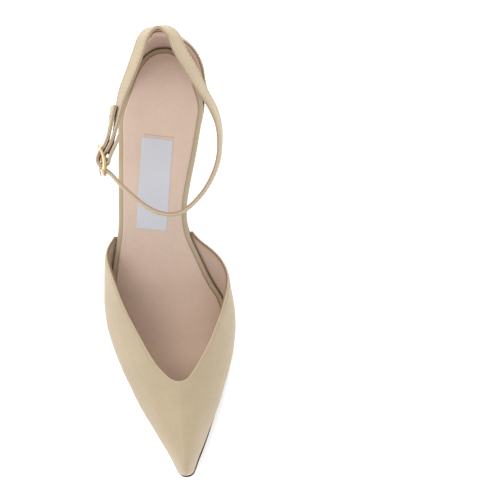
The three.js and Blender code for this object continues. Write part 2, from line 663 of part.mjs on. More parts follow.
const SPARE_HOLES = [0.683, 0.729, 0.937, 0.971]; // places along the strap's route
const SPARE_HOLE_RADIUS = 0.9;

// Punched adjustment holes in front of and behind the one in use.
function spareHoles(samples) {
  return SPARE_HOLES.map((place) => {
    const { at, along } = samples[Math.round(place * STRAP_SAMPLES)];
    const across = new THREE.Vector3(-along.y, along.x, 0).setLength(1.35);
    return wire([at.clone().sub(across), at.clone().add(across)], SPARE_HOLE_RADIUS, UP, 8);
  });
}

function strapOuter() {
  const samples = strapSamples(strapRoute, STRAP_SAMPLES);
  const fold = strapSamples(foldRoute, 26);
  const rings = [
    ...fold.slice(0, -1).map((sample) => plySection(sample, 0)),
    ...samples.map((sample) => plySection(sample, PLY_MID)),
  ];
  return cut(loft(rings), [prongHole(), prongSlit(), ...spareHoles(samples)]);
}

function strapLining() {
  const samples = strapSamples(strapRoute, STRAP_SAMPLES);
  const rings = samples.map((sample) => plySection(sample, -PLY_MID));
  return cut(loft(rings), [prongHole(), ...spareHoles(samples)]);
}

// The buckle's rounded frame, cambered so that its ends stand out, joined by the centre bar.
function buckleFrame() {
  const { half, rail, wire: radius, bar, camber } = BUCKLE;
  const corner = 2.2;
  const outline = [];
  [[1, 1], [-1, 1], [-1, -1], [1, -1]].forEach(([sx, sz], i) => {
    steps(4).forEach((t) => {
      const angle = (i + t) * (Math.PI / 2);
      const s = sx * (half - corner) + corner * Math.cos(angle);
      const z = sz * (rail - corner) + corner * Math.sin(angle);
      outline.push([s, z]);
    });
    if (i % 2 === 0) outline.push([0, sz * rail]);
  });
  const path = outline.map(([s, z]) => atBuckle(s, camber * s * s, z));
  const ring = toManifold(wire(path, radius, OUT, 8, true));
  const post = toManifold(wire([atBuckle(0, 0, -rail), atBuckle(0, 0, rail)], bar, OUT, 10));
  return fromManifold(ring.add(post));
}

// The prong: a wire bent round the bar, through the strap's hole and over the frame's end.
function buckleProng() {
  const turn = steps(10).map((t) => {
    const angle = THREE.MathUtils.degToRad(285 * (1 - t));
    return atBuckle(-BUCKLE.loop * Math.sin(angle), BUCKLE.loop * Math.cos(angle));
  });
  const shank = [[1.2, 1.75], [2.4, 2.6], [3.8, 3.35], [5.6, 3.5], [7.2, 3.3], [8.3, 3.1]]
    .map(([s, n]) => atBuckle(s, n));
  return wire([...turn, ...shank], BUCKLE.prong, UP, 8);
}

// ---------------------------------------------------------------- materials and assembly
const finish = (color, roughness, metalness = 0) => new THREE.MeshStandardMaterial(
  { color, roughness, metalness });
const MATERIALS = {
  upper: finish(0xc9ba97, 0.42),
  lining: finish(0xd6b8a2, 0.55),
  sole: finish(0x3b1d12, 0.5),
  board: finish(0xb59b73, 0.9),
  foam: finish(0xe6e0d0, 0.95),
  label: finish(0xd2d3dc, 0.6),
  plastic: finish(0xd8d4c8, 0.6),
  rubber: finish(0x4a3a2e, 0.8),
  steel: finish(0x9a9ca0, 0.35, 1),
  stiffener: finish(0xe8dfc8, 0.85),
  gold: finish(0xd9b25c, 0.25, 1),
};

const pieces = [
  ['outsole', outsole(), 'sole'],
  ['bottom_filler', plate(-130, -214, 18, 14.5, overBoard(-2.3), overBoard(-GAP)), 'foam'],
  ['insole_board', insoleBoard(), 'board'],
  ['insole_binding', insoleBinding(), 'upper'],
  ['steel_shank', steelShank(), 'steel'],
  ['shank_rivet_back', shankRivet(RIVETS[0]), 'steel'],
  ['shank_rivet_front', shankRivet(RIVETS[1]), 'steel'],
  ['sock_foam', plate(-6.8, -222, 44, 6.8, overBoard(BOARD + GAP), overBoard(SOCK_BASE - GAP)), 'foam'],
  ['sock_lining', plate(-2.8, INSOLE_TOE_Y + 4, 50, SOCK_INSET, overBoard(SOCK_BASE),
    overBoard(SOCK_BASE + SOCK)), 'lining'],
  ['label_patch', labelPatch(), 'label'],
  ['heel_core', heelCore(), 'plastic'],
  ['heel_cover', heelCover(), 'upper'],
  ['heel_top_piece', heelTopPiece(), 'rubber'],
  ['top_piece_pin', topPiecePin(), 'steel'],
  ['heel_screw', heelScrew(), 'steel'],
  ...NAILS.map(([x, y], i) => [`heel_nail_${i + 1}`, heelNail(x, y), 'steel']),
  ['vamp_outer', vampOuter(), 'upper'],
  ['toe_puff', toePuff(), 'stiffener'],
  ['vamp_lining', vampLining(), 'lining'],
  ['counter_outer', counterOuter(), 'upper'],
  ['counter_stiffener', counterStiffener(), 'stiffener'],
  ['counter_lining', counterLining(), 'lining'],
  ['ankle_strap_outer', strapOuter(), 'upper'],
  ['ankle_strap_lining', strapLining(), 'lining'],
  ['buckle_frame', buckleFrame(), 'gold'],
  ['buckle_prong', buckleProng(), 'gold'],
];

const shoe = new THREE.Group();
pieces.forEach(([name, geometry, material]) => {
  const mesh = new THREE.Mesh(geometry, MATERIALS[material]);
  mesh.name = name;
  shoe.add(mesh);
});
// The finished shoe stands on z = 0 with the middle of its box over the origin.
const box = new THREE.Box3().setFromObject(shoe);
const middle = box.getCenter(new THREE.Vector3());
shoe.position.set(-middle.x, -middle.y, -box.min.z);

export default shoe;
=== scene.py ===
"""A pointed-toe d'Orsay pump with an ankle strap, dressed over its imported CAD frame.

The shoe is drawn in its own millimetres, as the frame's design is: y = 0 at the back of the
heel seat, the toe towards -y, +x on the inner (medial) side of the foot, z up from the ground.
"""
import math

import bmesh
import bpy
import numpy as np
from mathutils import Matrix, Vector


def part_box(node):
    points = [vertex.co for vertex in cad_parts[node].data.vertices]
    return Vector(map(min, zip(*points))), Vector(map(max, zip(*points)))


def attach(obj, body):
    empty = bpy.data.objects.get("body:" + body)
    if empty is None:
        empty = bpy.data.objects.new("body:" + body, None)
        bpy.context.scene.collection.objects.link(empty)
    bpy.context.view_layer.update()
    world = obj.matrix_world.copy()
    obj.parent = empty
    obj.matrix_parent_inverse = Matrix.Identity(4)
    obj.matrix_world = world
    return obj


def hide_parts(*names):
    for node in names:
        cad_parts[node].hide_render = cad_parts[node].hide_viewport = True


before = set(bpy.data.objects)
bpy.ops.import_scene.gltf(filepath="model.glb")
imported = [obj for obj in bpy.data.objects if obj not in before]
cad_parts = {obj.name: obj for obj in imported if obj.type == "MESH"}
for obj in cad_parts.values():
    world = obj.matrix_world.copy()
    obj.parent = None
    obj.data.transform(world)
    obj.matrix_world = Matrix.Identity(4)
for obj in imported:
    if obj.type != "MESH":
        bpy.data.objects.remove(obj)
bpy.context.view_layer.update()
MM = 0.001

# ---- driving dimensions (mm)
TOE_Y = -236.0
INSOLE_TOE_Y = -233.4
GAP = 0.3
UPPER = 1.0
LINING = 0.8
PUFF = 0.6
MARGIN = 12.0  # width of the upper turned under the board
WIDER = 0.9  # how much fuller the dressed vamp and the sole's toe are than the CAD's
BOARD = 2.0
BINDING = 0.7
BINDING_WIDTH = 6.0
SOCK_BASE = 3.5
SOCK = 0.8
SOCK_CROWN = 0.45
SOCK_INSET = 2.8
SOCK_TOE_Y = INSOLE_TOE_Y + 4
SOLE_DROP = 2.7
SOLE_DROP_WAIST = 2.0
SOLE = 2.6
SOLE_WAIST = 1.8
SOLE_BEVEL = 0.45
SOLE_GROOVE = (3.95, 0.32)  # distance in from the edge, depth
HEEL_BREAST_Y = -42.0
HEEL_FLARE = 2.6
HEEL_DROP = 2.8
TOP_PIECE = 6.0
HEEL_FOOT = (-2.2, -10.0, 4.6, 4.8)  # x, y, half width, length behind the middle
HEEL_WRAP = (0.3, 0.9)  # inner and outer face, out from the heel's core
HEEL_LIFT = 1.5  # how far the wrap's rim rises ahead of the cup
COUNTER_REACH = 28.0
CUP_LINING = (0.25, 1.0)  # inner and outer face, out from the board's edge
CUP_STIFFENER = (1.2, 1.8)
CUP_OUTER = (2.05, 2.9)
PLY = 0.9
PLY_MID = 0.63
PLY_SAMPLES = 25  # points across each face of a ply
HOLE = 0.9  # radius of a spare hole
BAR = np.array([-32.0, -67.0, 135.0])  # middle of the buckle's bar
ALONG = np.array([0.13, -0.9915, 0.0])  # the strap's direction there
OUT = np.array([-0.9915, -0.13, 0.0])
UP = np.array([0.0, 0.0, 1.0])

# The pin in the heel's foot stands on the design's HEEL_FOOT, which places the design.
PIN = (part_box("top_piece_pin")[0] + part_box("top_piece_pin")[1]) / 2
SHIFT = np.array([PIN.x / MM - HEEL_FOOT[0], PIN.y / MM - HEEL_FOOT[1], 0.0])


# ---- curves
def through(pairs):
    """A smooth function through (position, value) pairs in rising order of position."""
    at = np.array([p[0] for p in pairs], float)
    value = np.array([p[1] for p in pairs], float)
    chord = np.diff(value) / np.diff(at)
    before, after = np.diff(at)[:-1], np.diff(at)[1:]
    inner = (chord[:-1] * after + chord[1:] * before) / (before + after)
    slope = np.concatenate([[chord[0]], inner, [chord[-1]]])

    def curve(position):
        p = np.clip(position, at[0], at[-1])
        i = np.clip(np.searchsorted(at, p) - 1, 0, len(at) - 2)
        step = at[i + 1] - at[i]
        t = (p - at[i]) / step
        rise = t * t * (3 - 2 * t)
        leave = t * (1 - t) ** 2 * step * slope[i]
        arrive = t * t * (t - 1) * step * slope[i + 1]
        return value[i] * (1 - rise) + leave + value[i + 1] * rise + arrive

    return curve


def smoothstep(value, low, high):
    t = np.clip((value - low) / (high - low), 0, 1)
    return t * t * (3 - 2 * t)


def unit(vectors):
    """The vectors, along the last axis, at length 1."""
    return vectors / np.linalg.norm(vectors, axis=-1, keepdims=True)


def rounded(t):
    """A quarter circle: 0 at the tip (t = 0), 1 where the rounding ends (t = 1)."""
    return np.sqrt(np.maximum(0, 1 - (1 - np.clip(t, 0, 1)) ** 2))


def spaced(start, end, count, ease):
    """Places from start to end, evenly spread at ease 0 and crowded at both ends at ease 1."""
    t = np.linspace(0, 1, count + 1)
    return start + (end - start) * (ease * (1 - np.cos(t * math.pi)) / 2 + (1 - ease) * t)


feather = through([
    (-236, 12.2), (-215, 9.4), (-195, 6.9), (-173, 5.06), (-157, 5.06), (-148, 7.2),
    (-135, 13.2), (-120, 23.6), (-100, 40.1), (-75, 59.6), (-50, 73.6), (-25, 81.6), (0, 86.4),
])
edge_lateral = through([
    (-233.6, -1.6), (-222, -7), (-207.7, -14.6), (-193.5, -22.3), (-179.3, -28.9),
    (-165, -34.2), (-151, -37.9), (-140, -39.4), (-125, -38.9), (-113, -36.4), (-95, -31.9),
    (-79, -30.3), (-53, -28.3), (-33, -26.3), (-26, -23.6), (-18, -20.3), (-8, -17.3), (0, -16.6),
])
edge_medial = through([
    (-233.6, 1.2), (-229, 2.9), (-216, 8.5), (-202, 14.3), (-188.7, 19.4), (-175, 23.9),
    (-161, 27.2), (-150, 28.2), (-142, 27.4), (-134, 25), (-125, 19.9), (-110, 13.1),
    (-98, 8.3), (-91, 7.5), (-84, 7.9), (-72, 10.6), (-59, 14.2), (-43, 17.9), (-33, 19.8),
    (-26, 18.9), (-18, 17), (-8, 15.6), (0, 14.6),
])
ridge = through([(-236, 0), (-182, -1.2), (-160, -2.2), (-138, -3), (-98, -4.4)])
vamp_lateral = through([
    (-236, 3), (-229, 6.7), (-222, 10.2), (-207.7, 17.7), (-193.5, 25.2), (-179.3, 31.5),
    (-165, 36.6), (-152, 40.1), (-145, 41.2), (-138, 41.3), (-125, 39.9), (-113, 38.2),
    (-105, 36.2), (-98, 33.5),
])
vamp_medial = through([
    (-236, 3), (-229.5, 6.2), (-216, 12.2), (-202, 18.4), (-188.7, 24.5), (-175, 30),
    (-161, 34.3), (-150, 36.1), (-140, 36.7), (-130, 36.4), (-122, 35.8), (-114, 34.3),
    (-105, 32.4), (-98, 31),
])
vamp_height = through([
    (-236, 9), (-228, 14), (-215, 19.5), (-200, 25), (-182, 31.5), (-160, 39), (-138, 46),
    (-120, 52.5), (-98, 61),
])
topline_lateral = through([
    (0, -182.3), (0.06, -181.9), (0.1, -181), (0.145, -179.3), (0.196, -176.2),
    (0.254, -171.7), (0.316, -163.9), (0.37, -155.2), (0.412, -148.4), (0.483, -138.4),
    (0.581, -126.6), (0.655, -119), (0.72, -113.4), (0.8, -107.9), (0.88, -103.8),
    (0.95, -100.8), (1, -98.5),
])
topline_medial = through([
    (0, -182.3), (0.062, -181.8), (0.123, -180), (0.199, -174.5), (0.284, -166.2),
    (0.354, -158.8), (0.417, -151.4), (0.493, -144.1), (0.557, -137.7), (0.63, -131.3),
    (0.682, -126.5), (0.742, -121), (0.81, -115.3), (0.873, -110.3), (0.93, -105.7),
    (0.97, -102), (1, -97.5),
])
bulge_medial = through([(0, 0), (8, 1.6), (18, 2.4), (30, 1.4), (40, -0.9), (48, -3.1), (56, -5.1)])
bulge_lateral = through([
    (0, 0), (8, 0.3), (18, -0.6), (30, -1.6), (40, -2.8), (48, -3.9), (56, -5.3),
])
cup_top = through([
    (0, 53), (0.1, 52), (0.2, 46.5), (0.3, 40.5), (0.38, 36), (0.44, 32), (0.55, 25), (0.62, 21),
    (0.8, 12), (1, 5),
])
sole_welt = through([
    (-237.4, 3.1), (-205, 3.5), (-170, 2.6), (-120, 2.4), (-104, 1.2), (-96, 0.3), (-40, -0.8),
])


def insole_edges(y, inset=0.0):
    """Left and right edge of the insole at y, drawn in by inset."""
    ends = rounded((-y - inset) / (17 - inset)) * rounded((y - INSOLE_TOE_Y - inset) / 2.4)

    def drawn_in(edge):
        return inset * np.hypot(1, edge(y + 0.5) - edge(y - 0.5))

    left = edge_lateral(y) + drawn_in(edge_lateral)
    right = edge_medial(y) - drawn_in(edge_medial)
    middle, half = (left + right) / 2, np.maximum(0, (right - left) / 2) * ends
    return middle - half, middle + half


def seat_edge(p, reach, out):
    """The seat's edge from p = -1 (lateral) round the back to 1 (medial), moved out by out."""
    def place(q):
        y = -reach * q * q
        left, right = insole_edges(y)
        return np.stack([np.where(q < 0, left, right), y, 0 * y], -1)

    p = np.asarray(p, float)
    out = np.broadcast_to(np.asarray(out, float), p.shape)
    along = unit(place(p + 0.01) - place(p - 0.01))
    normal = np.stack([-along[..., 1], along[..., 0], 0 * p], -1)
    return place(p) + normal * out[..., None]


# ---- mesh helpers
def linked(name, data):
    """A new object in the scene."""
    thing = bpy.data.objects.new(name, data)
    bpy.context.scene.collection.objects.link(thing)
    return thing


def mesh_of(name, points, faces):
    """A mesh from points in design millimetres."""
    mesh = bpy.data.meshes.new(name)
    placed = (np.asarray(points, float).reshape(-1, 3) + SHIFT) * MM
    mesh.from_pydata(placed.tolist(), [], [list(map(int, f)) for f in faces])
    return mesh


def clean(mesh):
    """Merges points that coincide and turns the faces outwards."""
    bm = bmesh.new()
    bm.from_mesh(mesh)
    bmesh.ops.remove_doubles(bm, verts=bm.verts, dist=1e-6)
    bmesh.ops.recalc_face_normals(bm, faces=bm.faces)
    bm.to_mesh(mesh)
    bm.free()


def part(name, points, faces, material, body="root", replaces=(), slot=None, smooth=60,
         trim=None, trimmed=()):
    """A named mesh piece from points in design millimetres, riding on a CAD body.

    Edges over smooth degrees are sharp, and the faces numbered in trimmed get the trim material."""
    mesh = mesh_of(name, points, faces)
    mesh.materials.append(material)
    if trim:
        mesh.materials.append(trim)
        index = np.zeros(len(mesh.polygons), int)
        index[list(trimmed)] = 1
        mesh.polygons.foreach_set("material_index", index)
    mesh.validate()
    clean(mesh)
    piece = linked(name, mesh)
    mesh.shade_smooth()
    if smooth < 180:
        mesh.set_sharp_from_angle(angle=math.radians(smooth))
    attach(piece, body)
    if replaces:
        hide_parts(*replaces)
    return piece


def grid_faces(rows, columns, wrap_rows=False, wrap_columns=False, start=0):
    """Four-sided faces between the points of a grid whose first point is numbered start."""
    r = np.arange(rows if wrap_rows else rows - 1)[:, None]
    c = np.arange(columns if wrap_columns else columns - 1)[None, :]
    r2, c2 = (r + 1) % rows, (c + 1) % columns
    index = [a * columns + b + start for a, b in ((r, c), (r, c2), (r2, c2), (r2, c))]
    return np.stack(index, -1).reshape(-1, 4).tolist()


def tube(rings, closed=False):
    """Points and faces of a skin through rings, an array [ring][point][xyz]."""
    rings = np.asarray(rings, float)
    count, size = rings.shape[:2]
    faces = grid_faces(count, size, wrap_rows=closed, wrap_columns=True)
    if not closed:
        faces += [list(range(size))[::-1], [(count - 1) * size + i for i in range(size)]]
    return rings.reshape(-1, 3), faces


def sweep(path, radius, side, sides=12, closed=False):
    """Rings of a round wire along a path; side is any direction across it."""
    path = np.asarray(path, float)
    if closed:
        along = np.roll(path, -1, 0) - np.roll(path, 1, 0)
    else:
        along = np.gradient(path, axis=0)
    along = unit(along)
    side = np.broadcast_to(np.asarray(side, float), path.shape)
    across = unit(np.cross(along, side))
    up = np.cross(across, along)
    a = np.linspace(0, 2 * math.pi, sides, endpoint=False)
    radius = np.broadcast_to(np.asarray(radius, float), (len(path),))[:, None, None]
    circle = across[:, None] * np.cos(a)[None, :, None] + up[:, None] * np.sin(a)[None, :, None]
    return path[:, None] + radius * circle


def skin(outer, inner, arc=6):
    """A sheet between two grids [row][column], closed all round, its first row's edge rolled over."""
    outer, inner = np.asarray(outer, float), np.asarray(inner, float)
    rows, columns = outer.shape[:2]
    near, far = outer[0], inner[0]
    middle, across = (near + far) / 2, (near - far) / 2
    along = np.gradient(near, axis=0)
    beyond = np.cross(across, along)
    beyond /= np.maximum(np.linalg.norm(beyond, axis=1, keepdims=True), 1e-9)
    beyond *= np.sign(np.sum(beyond * (outer[0] - outer[1]), axis=1, keepdims=True))
    radius = np.linalg.norm(across, axis=1, keepdims=True)
    angles = np.linspace(0, math.pi, arc + 1)
    lip = [middle + across * math.cos(a) + beyond * radius * math.sin(a) for a in angles]
    points = np.concatenate([g.reshape(-1, 3) for g in (outer, inner, np.array(lip))])
    back = rows * columns
    roll = 2 * back
    faces = grid_faces(rows, columns) + grid_faces(rows, columns, start=back)
    faces += grid_faces(arc + 1, columns, start=roll)
    for r in range(rows - 1):
        for c in (0, columns - 1):
            a, b = r * columns + c, (r + 1) * columns + c
            faces.append([a, b, back + b, back + a])
    end = (rows - 1) * columns
    for c in range(columns - 1):
        faces.append([end + c, end + c + 1, back + end + c + 1, back + end + c])
    for c in (0, columns - 1):
        faces.append([roll + k * columns + c for k in range(arc + 1)])
    return points, faces


def rim_faces(grid, arc=6):
    """Numbers of the faces of skin's rolled edge."""
    rows, columns = np.shape(grid)[:2]
    start = 2 * (rows - 1) * (columns - 1)
    return range(start, start + arc * (columns - 1))


def stitches(path, out, pitch=2.4, length=1.7, radius=0.17, lift=0.12):
    """Thread laid along a path in separate stitches; out is the surface's outward direction."""
    path = np.asarray(path, float)
    out = np.broadcast_to(np.asarray(out, float), path.shape)
    run = np.concatenate([[0], np.cumsum(np.linalg.norm(np.diff(path, axis=0), axis=1))])
    starts = np.arange(pitch / 2, run[-1] - length, pitch)
    share = np.linspace(0, 1, 6)
    threads = []
    for start in starts:
        at = start + share * length
        line = np.stack([np.interp(at, run, path[:, k]) for k in range(3)], -1)
        normal = np.stack([np.interp(at, run, out[:, k]) for k in range(3)], -1)
        line = line + normal * (lift * np.sin(share * math.pi) - 0.05)[:, None]
        thick = radius * (0.45 + 0.55 * np.sin(share * math.pi) ** 0.5)
        threads.append(tube(sweep(line, thick, normal, 6)))
    return joined(*threads)


def sewn(name, mesh):
    """A row of the upper's thread as a piece."""
    part(name, *mesh, upper_thread, slot="upper_leather", smooth=180)


def joined(*solids):
    """The points and faces of several solids as one mesh's."""
    points, faces, count = [], [], 0
    for found, these in solids:
        points.append(np.asarray(found))
        faces += [[i + count for i in f] for f in these]
        count += len(found)
    return np.concatenate(points), faces


# ---- materials
class Nodes:
    """Builds one procedural material; every texture is in object space, in metres."""

    def __init__(self, name):
        self.material = bpy.data.materials.new(name)
        self.material.use_nodes = True
        self.tree = self.material.node_tree
        self.shader = self.tree.nodes["Principled BSDF"]
        self.place = self.add("ShaderNodeTexCoord").outputs["Object"]

    def add(self, kind, **values):
        """A new node; a value sets the node's own property, or else the input of that name."""
        node = self.tree.nodes.new(kind)
        for key, value in values.items():
            if hasattr(node, key):
                setattr(node, key, value)
            else:
                node.inputs[key.replace("_", " ")].default_value = value
        return node

    def link(self, source, target):
        self.tree.links.new(source, target)

    def stretched(self, scale):
        node = self.add("ShaderNodeMapping", Scale=scale)
        self.link(self.place, node.inputs["Vector"])
        return node.outputs["Vector"]

    def noise(self, scale, detail=3.0, roughness=0.55, vector=None):
        node = self.add("ShaderNodeTexNoise", Scale=scale, Detail=detail, Roughness=roughness)
        self.link(vector or self.place, node.inputs["Vector"])
        return node.outputs["Fac"]

    def cells(self, scale, feature="DISTANCE_TO_EDGE", vector=None):
        node = self.add("ShaderNodeTexVoronoi", feature=feature, Scale=scale)
        self.link(vector or self.place, node.inputs["Vector"])
        return node.outputs["Distance"]

    def along_foot(self, start, end):
        """0 to 1 from start to end along the shoe, in metres of the object's y."""
        parts = self.add("ShaderNodeSeparateXYZ")
        self.link(self.place, parts.inputs[0])
        node = self.add("ShaderNodeMapRange", interpolation_type="SMOOTHSTEP", From_Min=start,
                        From_Max=end)
        self.link(parts.outputs["Y"], node.inputs["Value"])
        return node.outputs["Result"]

    def ramp(self, source, stops):
        node = self.add("ShaderNodeValToRGB")
        ends = node.color_ramp.elements
        while len(ends) < len(stops):
            ends.new(0.5)
        for element, (place, value) in zip(ends, stops):
            element.position = place
            colour = value if hasattr(value, "__len__") else (value,) * 3
            element.color = (*colour, 1)
        self.link(source, node.inputs["Fac"])
        return node.outputs["Color"]

    def mix(self, a, b, factor, blend="MIX"):
        node = self.add("ShaderNodeMix", data_type="RGBA", blend_type=blend)
        for socket, value in ((node.inputs[6], a), (node.inputs[7], b), (node.inputs[0], factor)):
            if hasattr(value, "links"):
                self.link(value, socket)
            elif hasattr(value, "__len__"):
                socket.default_value = (*value, 1)
            else:
                socket.default_value = value
        return node.outputs[2]

    def sum(self, *terms):
        """The sum of the sources, each times its weight."""
        total = None
        for source, weight in terms:
            node = self.add("ShaderNodeMath", operation="MULTIPLY_ADD")
            self.link(source, node.inputs[0])
            node.inputs[1].default_value, node.inputs[2].default_value = weight, 0
            if total:
                self.link(total, node.inputs[2])
            total = node.outputs[0]
        return total

    def edges(self, low, high):
        """0 to 1 on rubbed outer edges, from the surface's own sharpness."""
        node = self.add("ShaderNodeNewGeometry")
        return self.ramp(node.outputs["Pointiness"], [(low, 0.0), (high, 1.0)])

    def finish(self, colour, roughness, height=None, bump=0.2, depth=0.0001, **sockets):
        self.link(colour, self.shader.inputs["Base Color"])
        self.link(roughness, self.shader.inputs["Roughness"])
        if height is not None:
            node = self.add("ShaderNodeBump", Strength=bump, Distance=depth)
            self.link(height, node.inputs["Height"])
            self.link(node.outputs["Normal"], self.shader.inputs["Normal"])
        for key, value in sockets.items():
            self.shader.inputs[key.replace("_", " ")].default_value = value
        return self.material


def leather(name, colour, rough=(0.38, 0.5), grain=1500, bump=0.22, wear=0.12, mottle=0.06,
            painted_toe_shade=None, **sockets):
    """Finished leather: cell grain, pores, slow tone changes and slightly paler rubbed edges.

    A toe tint, if given, is painted shade: it darkens and warms the colour towards the toe, where the
    vamp shades the sock."""
    n = Nodes(name)
    colour = np.array(colour)
    slow = n.noise(28, 2)
    tones = colour * (1 - mottle), np.minimum(1, colour * (1 + mottle))
    tone = n.ramp(slow, [(0.3, tones[0]), (0.7, tones[1])])
    pores = n.ramp(n.cells(grain), [(0.0, 0.86), (0.14, 1.0)])
    tone = n.mix(tone, pores, 0.35, "MULTIPLY")
    speck = n.ramp(n.noise(420, 4), [(0.35, 0.94), (0.65, 1.03)])
    tone = n.mix(tone, speck, 0.5, "MULTIPLY")
    tone = n.mix(tone, np.minimum(1, colour * 1.25), n.sum((n.edges(0.53, 0.62), wear)))
    # Painted shade: the colour turns darker and warmer towards the toe, under the vamp.
    if painted_toe_shade:
        toe_shade_ramp = n.ramp(n.along_foot(0.02, -0.085), [(0.0, 1.0), (1.0, painted_toe_shade)])
        tone = n.mix(tone, toe_shade_ramp, 1.0, "MULTIPLY")
    height = n.sum((n.cells(grain), 0.8), (n.noise(grain * 0.55, 4), 0.5), (slow, 0.4))
    roughness = n.ramp(n.noise(160, 3), [(0.3, rough[0]), (0.7, rough[1])])
    return n.finish(tone, roughness, height, bump, 0.00012, **sockets)


def gold(name):
    n = Nodes(name)
    tone = n.ramp(n.noise(300, 3), [(0.3, (0.60, 0.41, 0.20)), (0.7, (0.74, 0.54, 0.30))])
    tone = n.mix(tone, (0.9, 0.75, 0.5), n.sum((n.edges(0.52, 0.6), 0.35)))
    brushed = n.noise(900, 5, 0.7, n.stretched((1, 1, 0.12)))
    roughness = n.ramp(brushed, [(0.3, 0.16), (0.75, 0.3)])
    return n.finish(tone, roughness, brushed, 0.08, 0.00003, Metallic=1.0)


def steel(name):
    n = Nodes(name)
    tone = n.ramp(n.noise(250, 4), [(0.3, (0.42, 0.42, 0.43)), (0.7, (0.6, 0.6, 0.61))])
    tone = n.mix(tone, (0.25, 0.17, 0.12), n.ramp(n.noise(90, 5), [(0.62, 0.0), (0.8, 0.4)]))
    brushed = n.noise(1400, 4, 0.7, n.stretched((1, 0.1, 1)))
    return n.finish(tone, n.ramp(brushed, [(0.3, 0.28), (0.7, 0.5)]), brushed, 0.15, 0.00005,
                    Metallic=1.0)


def board(name, light, dark, scale=220):
    """Pressed fibre, cork or foam: flecks and pits."""
    n = Nodes(name)
    flecks = n.cells(scale * 3, "F1")
    tone = n.ramp(n.noise(scale, 5, 0.7), [(0.3, dark), (0.7, light)])
    tone = n.mix(tone, n.ramp(flecks, [(0.0, 0.7), (0.5, 1.0)]), 0.5, "MULTIPLY")
    height = n.sum((flecks, 0.5), (n.noise(scale * 2, 5), 0.7))
    return n.finish(tone, n.ramp(flecks, [(0.0, 0.95), (0.6, 0.8)]), height, 0.5, 0.0002)


def moulded(name, light, dark, rough=(0.5, 0.65)):
    n = Nodes(name)
    slow = n.noise(60, 3)
    tone = n.ramp(slow, [(0.3, dark), (0.7, light)])
    tone = n.mix(tone, np.minimum(1, np.array(light) * 1.3), n.sum((n.edges(0.53, 0.62), 0.25)))
    height = n.noise(1800, 3)
    return n.finish(tone, n.ramp(n.noise(300, 4), [(0.3, rough[0]), (0.7, rough[1])]), height,
                    0.12, 0.00008)


def thread(name, colour):
    n = Nodes(name)
    colour = np.array(colour)
    twist = n.add("ShaderNodeTexWave", wave_type="BANDS", bands_direction="DIAGONAL", Scale=900)
    n.link(n.place, twist.inputs["Vector"])
    tone = n.ramp(twist.outputs["Fac"], [(0.2, colour * 0.82), (0.8, np.minimum(1, colour * 1.08))])
    return n.finish(tone, n.ramp(n.noise(500), [(0.3, 0.55), (0.7, 0.7)]),
                    twist.outputs["Fac"], 0.4, 0.00006)


def woven(name, colour):
    """A satin-woven label: crossed fine ribs and a slow change of tone."""
    n = Nodes(name)
    colour = np.array(colour)
    ribs = []
    for direction in ("X", "Y"):
        wave = n.add("ShaderNodeTexWave", wave_type="BANDS", bands_direction=direction, Scale=620,
                     Distortion=0.6)
        n.link(n.place, wave.inputs["Vector"])
        ribs.append(wave.outputs["Fac"])
    weave = n.sum((ribs[0], 0.35), (ribs[1], 0.65))
    tone = n.ramp(weave, [(0.1, colour * 0.93), (0.9, np.minimum(1, colour * 1.04))])
    tone = n.mix(tone, n.ramp(n.noise(40, 2), [(0.3, 0.95), (0.7, 1.02)]), 0.8, "MULTIPLY")
    return n.finish(tone, n.ramp(weave, [(0.1, 0.62), (0.9, 0.45)]), weave, 0.25, 0.00006)


UPPER_COLOUR = (0.42, 0.334, 0.216)
LINING_COLOUR = (0.50, 0.365, 0.29)
upper = leather("upper_leather", UPPER_COLOUR)
upper_heel = leather("heel_leather", UPPER_COLOUR, wear=0.16)
lining = leather("lining_leather", LINING_COLOUR, rough=(0.5, 0.62), grain=1100, bump=0.18,
                 wear=0.06)
# The sock's colour is painted darker and warmer towards the toe, as shade under the vamp.
sock_skin = leather("sock_leather", (0.575, 0.43, 0.345), rough=(0.46, 0.6), grain=1300, bump=0.16,
                    wear=0.05, mottle=0.04, painted_toe_shade=(1.0, 0.95, 0.87))
sole_leather = leather("sole_leather", (0.075, 0.02, 0.012), rough=(0.28, 0.45), grain=900,
                       bump=0.2, wear=0.3, mottle=0.2)
gold_metal = gold("gold_metal")
plain_steel = steel("steel")
rubber = moulded("top_piece_rubber", (0.075, 0.05, 0.035), (0.04, 0.027, 0.02), (0.6, 0.8))
plastic = moulded("heel_plastic", (0.7, 0.67, 0.6), (0.6, 0.57, 0.5))
fibre = board("insole_fibre", (0.5, 0.36, 0.21), (0.34, 0.23, 0.12))
cork = board("cork", (0.5, 0.31, 0.16), (0.2, 0.1, 0.045), 130)
foam = board("foam", (0.8, 0.76, 0.66), (0.66, 0.62, 0.52), 400)
stiff = board("stiffener", (0.8, 0.74, 0.6), (0.66, 0.6, 0.46), 300)
upper_thread = thread("upper_thread", np.array(UPPER_COLOUR) * 1.04)
lining_thread = thread("lining_thread", (0.33, 0.215, 0.15))
label_cloth = woven("label_cloth", (0.50, 0.505, 0.54))
# Dark brown for the rolled rims of the linings and the top and bottom edges of the strap's lining
# ply.
dark_brown_rims = leather("dark_brown_rims", (0.26, 0.15, 0.09), rough=(0.45, 0.6), mottle=0.12)


# ---- vamp
def puffed(y):
    """1 where the toe puff lies between leather and lining, 0 where it doesn't."""
    return smoothstep(-y, 186, 196)


